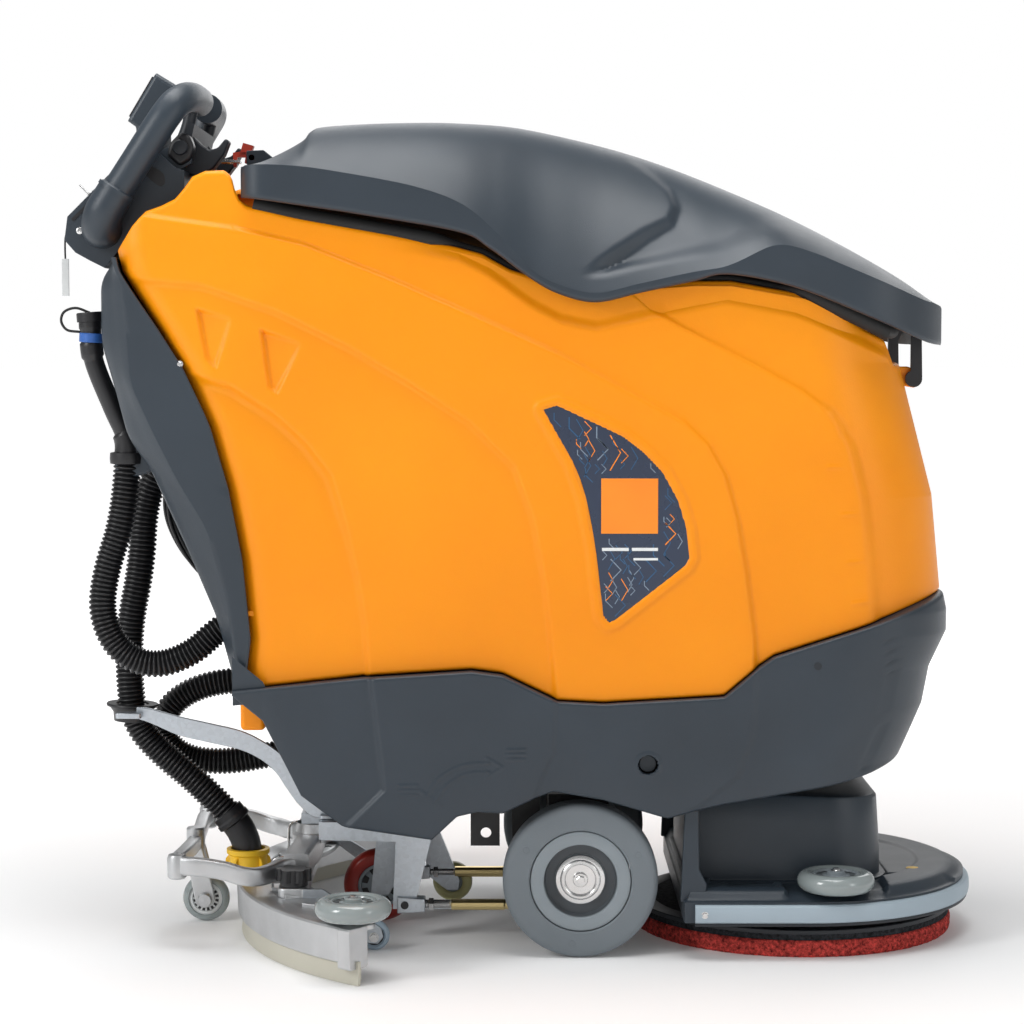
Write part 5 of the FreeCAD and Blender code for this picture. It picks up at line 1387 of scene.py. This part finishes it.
# ------------------------------------------------------------------ under the hood
def recovery_tub():
    """The dirty-water tub that hangs in the tank: tapered walls and a rolled rim, with a filter basket and a float
    cage.
    """
    rings = []
    for z, half, grow in ((0.562, 0.186, -0.02), (0.564, 0.19, -0.014), (0.6, 0.192, -0.01),
                          (0.7, 0.196, -0.006), (0.78, 0.199, -0.002), (0.815, 0.2005, 0.0),
                          (0.822, 0.205, 0.0), (0.828, 0.2052, 0.001), (0.83, 0.204, 0.0),
                          (0.8295, 0.198, -0.004), (0.815, 0.1965, -0.005), (0.7, 0.192, -0.01),
                          (0.59, 0.188, -0.018), (0.572, 0.176, -0.03)):
        rings.append((rounded_plan(-0.378 - grow, 0.243 + grow, half, 0.045, 0.06), z))
    tub = loft("recovery_tub", rings, TUB_GREY, "chassis", angle=40)
    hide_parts("recovery_tank")
    lathe("filter_basket", [(0.046, 0.0), (0.046, 0.052), (0.05, 0.054), (0.05, 0.06), (0.044, 0.062),
                            (0.042, 0.01), (0, 0.008)], (-0.3, 0.1, 0.7), UP, BLACK, "chassis")
    lathe("float_cage", [(0.03, 0.0), (0.032, 0.004), (0.032, 0.12), (0.028, 0.128), (0.012, 0.134), (0, 0.134)],
          (0.18, 0.06, 0.64), UP, BLACK, "chassis")


# ------------------------------------------------------------------ operator console
def console():
    """Handlebar, sleeves, switches, stays, screen and buttons."""
    # sleeves where the handlebar leaves the console, one elbow on each side
    for s, side in SIDES:
        line = smooth_line([(-0.615, s * 0.145, 0.936), (-0.6145, s * 0.16, 0.937),
                            (-0.6125, s * 0.174, 0.942), (-0.6075, s * 0.1815, 0.9555),
                            (-0.599, s * 0.1825, 0.97), (-0.589, s * 0.1825, 0.986)], 8)
        n = len(line)
        radii = [0.0262 - 0.0024 * k / (n - 1) for k in range(n)]
        radii[0], radii[1] = 0.03, 0.0285
        radii[-1], radii[-2] = 0.0206, 0.0232
        sweep("bar_sleeve_" + side, line, 0.026, SLATE, "chassis", sides=40, radii=radii)
        ring = [line[-4], line[-3], line[-2]]
        sweep("bar_sleeve_lip_" + side, ring, 0.0252, SLATE, "chassis", sides=40)
        seam = mm([(-655, 948), (-588, 1012), (-586, 1010), (-652, 945)])
        prism("console_seam_" + side, seam, *span(s, 0.149, 0.1512), BLACK, "chassis")
        lathe("console_screw_" + side, [(0.0045, 0), (0.0045, 0.0012), (0.0036, 0.0018), (0.0012, 0.0018),
                                        (0, 0.0008)], (-0.644, s * 0.15, 0.933), (0, s, 0), STEEL,
              "chassis", steps=20)
        # switch block and its lever under the crossbar
        pod = mm([(-533, 1030), (-516, 1016), (-502, 1024), (-497, 1040), (-503, 1056), (-515, 1060), (-529, 1046)])
        prism("switch_pod_" + side, pod, *span(s, 0.112, 0.14), BLACK, "chassis", 0.005, 4)
        lathe("switch_cap_" + side, [(0.01, 0.0), (0.01, 0.004), (0.0085, 0.006), (0.003, 0.0066), (0, 0.0066)],
              (-0.515, s * 0.14, 1.04), (0, s, 0), SLATE_DARK, "chassis", steps=36)
        # open hook for a hose or a cloth, in front of the console
        cleat = mm([(-520, 1012), (-497, 1004), (-478, 1016), (-464, 1034), (-457, 1052), (-462, 1055), (-472, 1043),
                    (-483, 1040), (-494, 1048), (-504, 1058), (-511, 1052), (-516, 1034)])
        prism("cleat_" + side, cleat, *span(s, 0.064, 0.096), SLATE_DARK, "chassis", 0.0025, 3)
        slot = smooth_line(mm([(-556, 1002), (-541, 990), (-534, 994), (-536, 1006), (-550, 1015), (-558, 1012)]), 4,
                           closed=True)
        prism("paddle_slot_" + side, slot, *span(s, 0.1495, 0.1505), BLACK, "chassis")
    grip = []
    for s in (-1, 1):
        half = [(-0.614, 0.15, 0.938), (-0.614, 0.172, 0.938), (-0.611, 0.1815, 0.948),
                (-0.602, 0.183, 0.964), (-0.57, 0.1825, 1.013), (-0.539, 0.182, 1.061),
                (-0.527, 0.18, 1.079), (-0.517, 0.171, 1.093), (-0.508, 0.148, 1.102),
                (-0.503, 0.11, 1.106), (-0.502, 0.05, 1.1065)]
        grip += half if s > 0 else [(x, -y, z) for x, y, z in half[::-1]]
    bar = sweep("handlebar_tube", smooth_line(grip, 10), 0.0198, SLATE, "chassis", sides=48)
    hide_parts("handlebar")
    for s, side in SIDES:
        arm = smooth_line([(-0.524, s * 0.1, 1.036), (-0.511, s * 0.102, 1.066), (-0.504, s * 0.104, 1.092)], 6)
        sweep("bar_stay_" + side, arm, 0.0085, SLATE_DARK, "chassis", sides=20)
    # screen on the face towards the operator
    a, b = np.array([-0.595, 1.081]), np.array([-0.557, 1.144])
    along = (b - a) / np.hypot(*(b - a))
    out = np.array([-along[1], along[0]])

    def on_face(name, t0, t1, y0, y1, lift, thick, material, bevel=0.0008):
        p0, p1 = a + along * t0 + out * lift, a + along * t1 + out * lift
        q0, q1 = p0 + out * thick, p1 + out * thick
        return prism(name, [p0, p1, q1, q0], y0, y1, material, "chassis", bevel, 2)

    on_face("screen_frame", 0.006, 0.067, -0.056, 0.056, -0.001, 0.003, BLACK)
    on_face("screen_glass", 0.013, 0.06, -0.048, 0.048, 0.0018, 0.0008, SCREEN, 0.0003)
    for k in range(5):
        on_face("screen_bar_%d" % k, 0.018, 0.022 + 0.005 * k, -0.04 + 0.011 * k, -0.033 + 0.011 * k, 0.0025, 0.0003,
                BADGE_BLUE if k < 3 else BADGE_ORANGE, 0.0)
    on_face("screen_line", 0.05, 0.054, -0.04, 0.04, 0.0025, 0.0003, WHITE, 0.0)
    # dash buttons beside the green one, between the console's rear edge and the display
    c, d = np.array([-0.66, 0.951]), np.array([-0.585, 1.026])
    run = (d - c) / np.hypot(*(d - c))
    up = Vector((-run[1], 0, run[0]))
    for k, y in enumerate((-0.03, 0.0, 0.03, 0.06)):
        at = c + run * 0.052
        lathe("dash_button_%d" % k, [(0.0095, -0.001), (0.0095, 0.0022), (0.0085, 0.0034), (0.004, 0.004),
                                     (0, 0.004)], (at[0], y, at[1]), up, RED_TRIM if k == 3 else SLATE_DARK,
              "chassis", steps=32)
    for name, node, r in (("start_bezel", "start_button", 0.0125), ("key_bezel", "key_switch", 0.012)):
        mid = node_centre(node)
        drop = (mid.x - c[0]) * up.x + (mid.z - c[1]) * up.z
        foot = mid - up * drop
        lathe(name, [(r, -0.001), (r, 0.0014), (r - 0.0012, 0.002), (r - 0.0022, 0.0014), (r - 0.0024, -0.001)],
              foot, up, BLACK, "chassis", steps=40)


# ------------------------------------------------------------------ hose ends
HOSE_ARM_Y = -75.0      # mm
HOSE_ARM_THICK = 5.0    # mm


def hose_ends():
    """The drain pipe with its cap, the arm that guides the hose, and the coupling on the squeegee."""
    route = smooth_line([(-0.633, -0.14, 0.824), (-0.633, -0.14, 0.806), (-0.629, -0.14, 0.765),
                         (-0.606, -0.14, 0.706), (-0.588, -0.14, 0.664), (-0.587, -0.14, 0.634)], 14)
    radii = []
    for p in route:
        z = p[2]
        r = 0.0125
        if z > 0.806:
            r = 0.015
        elif z > 0.801:
            r = 0.0135
        elif z < 0.79 and z > 0.772:
            r = 0.0148
        elif z < 0.672:
            r = 0.016 + 0.002 * (0.672 - z) / 0.038
        radii.append(r)
    pipe = sweep("drain_pipe", route, 0.013, BLACK, "chassis", sides=32, radii=radii)
    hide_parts("drain_hose_end")
    lathe("drain_blue_ring", [(0.015, -0.006), (0.0158, -0.005), (0.0158, 0.005), (0.015, 0.006),
                              (0.0125, 0.006), (0.0125, -0.006), (0.015, -0.006)],
          (-0.632, -0.14, 0.7955), (0.05, 0, 1), BLUE, "chassis", steps=48)
    loop = smooth_line([(-0.634, -0.14, 0.828), (-0.652, -0.14, 0.834), (-0.667, -0.14, 0.829),
                        (-0.671, -0.14, 0.817), (-0.664, -0.14, 0.806), (-0.65, -0.14, 0.8035),
                        (-0.64, -0.14, 0.8035)], 8)
    sweep("drain_cap_strap", loop, 0.0017, RUBBER, "cap", sides=14)
    collar = [(0.017, -0.008), (0.0222, -0.007), (0.0228, 0.0), (0.0222, 0.007), (0.017, 0.008)]
    lathe("drain_cuff", collar, (-0.5872, -0.14, 0.64), UP, BLACK, "chassis", steps=40)
    holder = smooth_line(mm([(-596, 650), (-560, 664), (-548, 640), (-556, 622), (-590, 616), (-602, 630)]), 4,
                         closed=True)
    prism("drain_holder", holder, -0.152, -0.128, SLATE, "chassis", 0.003)
    # flanged guide at the end of the hose arm
    guide = [(0.0205, -0.016), (0.024, -0.016), (0.0255, -0.004), (0.031, 0.003), (0.0345, 0.004),
             (0.035, 0.006), (0.034, 0.0078), (0.0225, 0.0078), (0.0205, 0.004), (0.0205, -0.016)]
    lathe("hose_guide", guide, (-0.6005, -0.029, 0.296), (0.05, 0, 1), BLACK, "tow", steps=56)
    upper = smooth_line(mm([(-588, 305), (-570, 303), (-530, 292), (-490, 283), (-449, 273), (-420, 259), (-396, 242),
                            (-378, 222), (-362, 196), (-345, 171), (-326, 166)]), 5)
    lower = smooth_line(mm([(-326, 157), (-352, 157), (-372, 173), (-389, 196), (-403, 217), (-424, 235), (-452, 248),
                            (-494, 258), (-532, 267), (-566, 282), (-588, 290)]), 5)
    arm = prism("hose_arm_bar", np.concatenate([upper, lower]), (HOSE_ARM_Y - HOSE_ARM_THICK / 2) * MM,
                (HOSE_ARM_Y + HOSE_ARM_THICK / 2) * MM, ZINC, "tow", 0.001)
    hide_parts("hose_arm")
    foot = rounded_plan(-0.344, -0.322, 0.016, 0.004, 0.004, 4)
    plan_prism("hose_arm_foot", [(x, y + HOSE_ARM_Y * MM) for x, y in foot], 0.1564, 0.1612, ZINC, "tow", 0.0008)
    tab = rounded_plan(-0.614, -0.58, 0.01, 0.004, 0.004, 4)
    plan_prism("hose_arm_tab", [(x, y + (HOSE_ARM_Y - 8) * MM) for x, y in tab], 0.2915, 0.2985, ZINC, "tow", 0.0008)
    # elbow and yellow coupling on the squeegee
    line = smooth_line([(-0.4745, -0.025, 0.155), (-0.4665, -0.025, 0.145), (-0.456, -0.025, 0.13),
                        (-0.449, -0.025, 0.113), (-0.4465, -0.025, 0.096), (-0.446, -0.025, 0.072)], 8)
    n = len(line)
    radii = [0.0222 if k < 7 else (0.0236 if k < 11 else 0.0205 - 0.0015 * k / n) for k in range(n)]
    elbow = sweep("suction_elbow", line, 0.02, BLACK, "squeegee", sides=40, radii=radii)
    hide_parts("suction_coupling")
    lathe("coupling_collar", [(0.03, -0.004), (0.03, 0.003), (0.026, 0.006), (0.0255, 0.024), (0.029, 0.027),
                              (0.029, 0.033), (0.0235, 0.0335), (0.0225, 0.026), (0.0225, -0.004),
                              (0.03, -0.004)], (-0.446, -0.025, 0.072), UP, YELLOW, "squeegee", steps=56)
    for k in range(5):
        a = TURN * (k + 0.35) / 5
        x, y = -0.446 + 0.0285 * math.cos(a), -0.025 + 0.0285 * math.sin(a)
        fin = mm([(0, 0), (9, 0), (7, 16), (0, 24)])
        low, high = ([(x + (fx - 0.004) * math.cos(a) - off * math.sin(a),
                       y + (fx - 0.004) * math.sin(a) + off * math.cos(a), 0.074 + fz) for fx, fz in fin]
                     for off in (-0.0014, 0.0014))
        extrusion("coupling_fin_%d" % k, low, high, YELLOW, "squeegee", 0.0006, 2)


# ------------------------------------------------------------------ squeegee
def arc_moulding(name, profile, a0, a1, material, body, steps=96, angle=32):
    """A profile of (radius, height) swept round the machine's axis, angles in degrees from straight back."""
    verts = []
    for i in range(steps + 1):
        a = math.radians(a0 + (a1 - a0) * i / steps)
        verts += [(-r * math.cos(a), -r * math.sin(a), z) for r, z in profile]
    return add_mesh(name, verts, tube_faces(steps + 1, len(profile)), material, body, angle=angle)


def swept(t, r, s):
    """X and Y at radius r from the machine's axis, t degrees from straight back, on side s."""
    return -r * math.cos(math.radians(t)), -s * r * math.sin(math.radians(t))


def squeegee():
    """The curved casting with its ends, wings, ribs, posts and wires, and both blades."""
    web = [(0.458, 0.026), (0.46, 0.0275), (0.4615, 0.06), (0.461, 0.068), (0.459, 0.0705),
           (0.456, 0.0715), (0.43, 0.0715), (0.428, 0.0705), (0.4275, 0.0685), (0.4285, 0.0665),
           (0.453, 0.066), (0.455, 0.064), (0.4545, 0.0275), (0.4555, 0.026)]
    body = arc_moulding("squeegee_casting", web, -51, 51, CAST, "squeegee", steps=140)
    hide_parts("squeegee_body")
    front_web = [(0.436, 0.024), (0.44, 0.024), (0.4405, 0.066), (0.4355, 0.066)]
    arc_moulding("squeegee_inner_web", front_web, -50, 50, CAST, "squeegee", steps=100)
    for s in (-1, 1):
        side = "right" if s > 0 else "left"
        block = [(0.434, 0.02), (0.464, 0.02), (0.4662, 0.0225), (0.4665, 0.069), (0.464, 0.0722),
                 (0.434, 0.0722), (0.432, 0.07), (0.432, 0.0225)]
        obj = arc_moulding("squeegee_end_" + side, block, s * 49.4, s * 52.0, CAST, "squeegee", steps=8)
        bevelled(obj, 0.0025, 4, 40)
        # cast wing that carries the knob's stud and the side roller
        wing = [swept(t, r, s) for t, r in (
            (14, 0.43), (22, 0.43), (32, 0.431), (42, 0.432), (50.5, 0.434), (51.5, 0.414), (48.0, 0.402),
            (43.0, 0.404), (36.0, 0.396), (29.0, 0.384), (23.0, 0.372), (17.0, 0.372), (13.5, 0.392))]
        outline = smooth_line(wing, 4, closed=True)
        plan_prism("squeegee_wing_" + side, outline, 0.064, 0.0712, CAST, "squeegee", 0.0018)
        for t0, r0, t1, r1 in ((20, 0.428, 24, 0.378), (27, 0.428, 27, 0.384), (34, 0.429, 38, 0.398),
                               (41, 0.43, 45, 0.405)):
            p, q = Vector((*swept(t0, r0, s), 0.0712)), Vector((*swept(t1, r1, s), 0.0712))
            d = (q - p).normalized()
            n = Vector((-d.y, d.x, 0)) * 0.0015
            low = [p + n, q + n, q - n, p - n]
            high = [corner + Vector((0, 0, up)) for corner, up in zip(low, (0.006, 0.0015, 0.0015, 0.006))]
            extrusion("wing_rib_%s_%d" % (side, t0), low, high, CAST, "squeegee", 0.0007, 2)
        lathe("roller_post_" + side, [(0.0105, -0.012), (0.0105, 0.0), (0.008, 0.003), (0.008, 0.006)],
              (SQUEEGEE_ROLLER_AT[0], -s * SQUEEGEE_ROLLER_AT[1], 0.072), UP, CAST, "squeegee", steps=40)
        lathe("knob_stud_" + side, [(0.013, -0.002), (0.013, 0.004), (0.009, 0.006), (0.0065, 0.006),
                                    (0.0065, 0.013)], (-0.372, -s * 0.165, 0.0712), UP, STEEL, "squeegee")
        rod = smooth_line([(-0.404, -s * 0.125, 0.072), (-0.404, -s * 0.125, 0.096), (-0.402, -s * 0.125, 0.108),
                           (-0.392, -s * 0.125, 0.112), (-0.372, -s * 0.125, 0.112), (-0.362, -s * 0.125, 0.114)], 6)
        sweep("release_wire_" + side, rod, 0.0022, STEEL, "squeegee", sides=16)
    outer_blade = [(0.45, 0.03), (0.45, 0.01), (0.4512, 0.0005), (0.4552, 0.0005), (0.4542, 0.01),
                   (0.454, 0.03)]
    blade = arc_moulding("rear_blade", outer_blade, -52.5, 52.5, BLADE, "squeegee", steps=120)
    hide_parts("squeegee_blades")
    arc_moulding("front_blade", [(0.4405, 0.03), (0.4405, 0.003), (0.4445, 0.003), (0.4445, 0.03)], -51.5,
                 51.5, BLADE, "squeegee", steps=100)


def bar_sweep(name, points, width, height, material, body, per=8, square=0.45):
    """A cast bar with a rounded rectangular section that stays upright along its path."""
    line = [Vector(p) for p in smooth_line(points, per)]
    sides = 24
    verts = []
    for point, t in zip(line, tangents(line)):
        out = t.cross(Vector(UP)).normalized()
        up = out.cross(t)
        for k in range(sides):
            a = TURN * (k + 0.5) / sides
            p, q = math.cos(a), math.sin(a)
            verts.append(point + out * (math.copysign(abs(p) ** square, p) * width / 2)
                         + up * (math.copysign(abs(q) ** square, q) * height / 2))
    return add_mesh(name, verts, tube_faces(len(line), sides), material, body, angle=42)


def carrier():
    """The cast frame over the squeegee: a curved rail on each side, a rear bar, the wheel fork and the hub."""
    hub = lathe("carrier_hub", [(0.03, 0.112), (0.03, 0.12), (0.025, 0.124), (0.024, 0.13), (0.024, 0.1365)],
                (-0.358, 0, 0), UP, CAST, "squeegee", steps=56)
    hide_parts("squeegee_carrier")
    lathe("swing_pin", [(0.008, 0.13), (0.008, 0.152), (0.012, 0.1525), (0.012, 0.157), (0.0105, 0.158),
                        (0, 0.158)], (-0.358, 0, 0), UP, STEEL, "squeegee", steps=32)
    bar_sweep("carrier_rear_bar", [(-0.52, -0.176, 0.112), (-0.526, -0.15, 0.112), (-0.523, -0.08, 0.11),
                                   (-0.52, 0.0, 0.109), (-0.523, 0.08, 0.11), (-0.526, 0.15, 0.112),
                                   (-0.52, 0.176, 0.112)], 0.018, 0.02, CAST, "squeegee")
    bar_sweep("carrier_front_bar", [(-0.372, -0.132, 0.102), (-0.369, -0.09, 0.104), (-0.364, -0.03, 0.106),
                                    (-0.364, 0.03, 0.106), (-0.369, 0.09, 0.104), (-0.372, 0.132, 0.102)],
              0.034, 0.034, CAST, "squeegee", square=0.32)
    knob_plate = rounded_plan(-0.392, -0.354, 0.187, 0.01, 0.01, 6)
    plan_prism("knob_plate", knob_plate, 0.0706, 0.0838, CAST, "squeegee", 0.002)
    for s, side in SIDES:
        bar_sweep("carrier_rail_" + side,
                  [(-0.526, s * 0.17, 0.113), (-0.51, s * 0.1805, 0.1125), (-0.485, s * 0.182, 0.1105),
                   (-0.46, s * 0.1815, 0.106), (-0.438, s * 0.179, 0.099), (-0.42, s * 0.17, 0.096),
                   (-0.406, s * 0.15, 0.096), (-0.392, s * 0.132, 0.099), (-0.374, s * 0.124, 0.102)],
                  0.016, 0.024, CAST, "squeegee")
        lathe("rail_boss_" + side, [(0, 0.0945), (0.01, 0.095), (0.0125, 0.0975), (0.013, 0.122),
                                    (0.011, 0.1265), (0.007, 0.1275), (0.0065, 0.123), (0, 0.1225)],
              (-0.523, s * 0.174, 0), UP, CAST, "squeegee", steps=40)
        leg = mm([(-532, 98), (-528, 108), (-512, 110), (-508, 100), (-494, 44), (-493, 32), (-498, 22), (-508, 20),
                  (-518, 25), (-521, 36)])
        prism("fork_leg_" + side, leg, *span(s, 0.0128, 0.0178), CAST, "squeegee", 0.002, 3)
        lathe("fork_boss_" + side, [(0.01, 0.0), (0.0098, 0.006), (0.0085, 0.008), (0, 0.0085)],
              (-0.506, s * 0.0176, 0.032), (0, s, 0), CAST, "squeegee", steps=36)
        arm = mm([(-385, 71), (-385, 83), (-334, 83), (-300, 62), (-258, 32), (-255, 20), (-262, 11), (-274, 12),
                  (-300, 40), (-342, 71)])
        wheel_face = SUPPORT_AT[1] + 0.007
        low_y, high_y = wheel_face + 0.0015, wheel_face + 0.0075
        prism("support_arm_" + side, arm, *span(s, low_y, high_y), ZINC, "squeegee", 0.0012)
        bolt("support_bolt_" + side, (SUPPORT_AT[0], s * high_y, SUPPORT_AT[2]), (0, s, 0), 0.0048, 0.004,
             STEEL, "squeegee")
    lathe("fork_pin_boss", [(0, 0.088), (0.011, 0.0885), (0.0125, 0.09), (0.0125, 0.127), (0.011, 0.129),
                            (0.006, 0.1295), (0, 0.1295)], (-0.52, 0, 0), UP, CAST, "squeegee", steps=40)
    # tie rods from the lifting frame to the axle: steel clevis, threaded end and a yellow-zinc sleeve
    for s, side in SIDES:
        y = s * 0.105
        clevis = mm([(-240, 35), (-203, 37), (-203, 55), (-240, 57)])
        prism("clevis_" + side, clevis, y - 0.011, y + 0.011, ZINC, "tow", 0.0015)
        lathe("clevis_pin_" + side, [(0.0052, 0.0), (0.0052, 0.002), (0.0044, 0.0026), (0, 0.0026)],
              (-0.23, y + s * 0.011, 0.0465), (0, s, 0), BLACK, "tow", steps=24)
        thread = []
        for k in range(22):
            thread += [(0.0066, 0.0016 * k), (0.0058, 0.0016 * k + 0.0008)]
        lathe("rod_thread_" + side, thread, (-0.204, y, 0.0455), (1, 0, 0), STEEL, "tow", steps=24)
        lathe("rod_nut_" + side, [(0.006, 0), (0.0092, 0.0004), (0.0092, 0.0064), (0.006, 0.0068)],
              (-0.1985, y, 0.0455), (1, 0, 0), STEEL, "tow", steps=6, angle=20)
        lathe("rod_sleeve_" + side, [(0.006, 0.0), (0.0074, 0.0008), (0.0074, 0.07), (0.0066, 0.072),
                                     (0.0066, 0.088)], (-0.169, y, 0.0452), (1, 0, 0), YELLOW_ZINC, "tow",
              steps=10, angle=20)


carrier()
badge()
recovery_tub()
console()
hose_ends()
squeegee()


# ------------------------------------------------------------------ studio
def studio():
    """A pale floor whose painted glow fades it into white away from the machine, and four soft lights."""
    world = bpy.data.worlds.new("studio")
    bpy.context.scene.world = world
    world.use_nodes = True
    background = world.node_tree.nodes["Background"]
    background.inputs["Color"].default_value = (1, 1, 1, 1)
    background.inputs["Strength"].default_value = 0.36
    seen = world.node_tree.nodes.new("ShaderNodeBackground")
    seen.inputs["Color"].default_value = (1, 1, 1, 1)
    rays = world.node_tree.nodes.new("ShaderNodeLightPath")
    mix = world.node_tree.nodes.new("ShaderNodeMixShader")
    links = world.node_tree.links
    links.new(rays.outputs["Is Camera Ray"], mix.inputs["Fac"])
    links.new(background.outputs["Background"], mix.inputs[1])
    links.new(seen.outputs["Background"], mix.inputs[2])
    links.new(mix.outputs["Shader"], world.node_tree.nodes["World Output"].inputs["Surface"])
    mesh = bpy.data.meshes.new("floor")
    half = 60.0
    mesh.from_pydata([(-half, -half, 0), (half, -half, 0), (half, half, 0), (-half, half, 0)], [], [(0, 1, 2, 3)])
    floor = bpy.data.objects.new("floor", mesh)
    bpy.context.scene.collection.objects.link(floor)
    m, tree, shader = new_material("floor_paint_and_glow", 0.7)
    tint = ramp(tree, noise(tree, 0.6, 2.0), [(0.3, (0.9, 0.9, 0.905)), (0.7, (0.93, 0.93, 0.93))])
    tree.links.new(tint, shader.inputs["Base Color"])
    # painted light: the floor's own colour is also its glow
    tree.links.new(tint, shader.inputs["Emission Color"])
    # painted light: the floor's emission grows away from the machine, so it glows white like a lit studio cove
    reach = tree.nodes.new("ShaderNodeVectorMath")
    reach.operation = "LENGTH"
    tree.links.new(coords(tree), reach.inputs[0])
    glow = tree.nodes.new("ShaderNodeMapRange")
    glow.interpolation_type = "SMOOTHSTEP"
    glow.inputs["From Min"].default_value = 0.6
    glow.inputs["From Max"].default_value = 3.2
    glow.inputs["To Min"].default_value = 0.05
    glow.inputs["To Max"].default_value = 0.75
    tree.links.new(reach.outputs["Value"], glow.inputs["Value"])
    tree.links.new(glow.outputs["Result"], shader.inputs["Emission Strength"])
    mesh.materials.append(m)

    def softbox(name, place, target, size, power, colour=(1, 1, 1)):
        data = bpy.data.lights.new(name, "AREA")
        data.shape = "RECTANGLE"
        data.size, data.size_y = size
        data.energy = power
        data.color = colour
        lamp = bpy.data.objects.new(name, data)
        lamp.location = place
        lamp.rotation_euler = (Vector(target) - Vector(place)).to_track_quat("-Z", "Y").to_euler()
        bpy.context.scene.collection.objects.link(lamp)

    softbox("overhead", (-0.3, -0.3, 3.0), (0, 0, 0.6), (2.6, 1.4), 62)
    softbox("key_left", (-3.0, -2.2, 2.3), (0, 0, 0.65), (1.0, 1.6), 58)
    softbox("front_right", (2.6, -2.4, 1.4), (0, 0, 0.6), (0.8, 1.6), 12)
    softbox("rear_fill", (0.5, 3.2, 2.2), (0, 0, 0.6), (3.0, 2.0), 30)
    bpy.context.scene.view_settings.view_transform = "Standard"


studio()
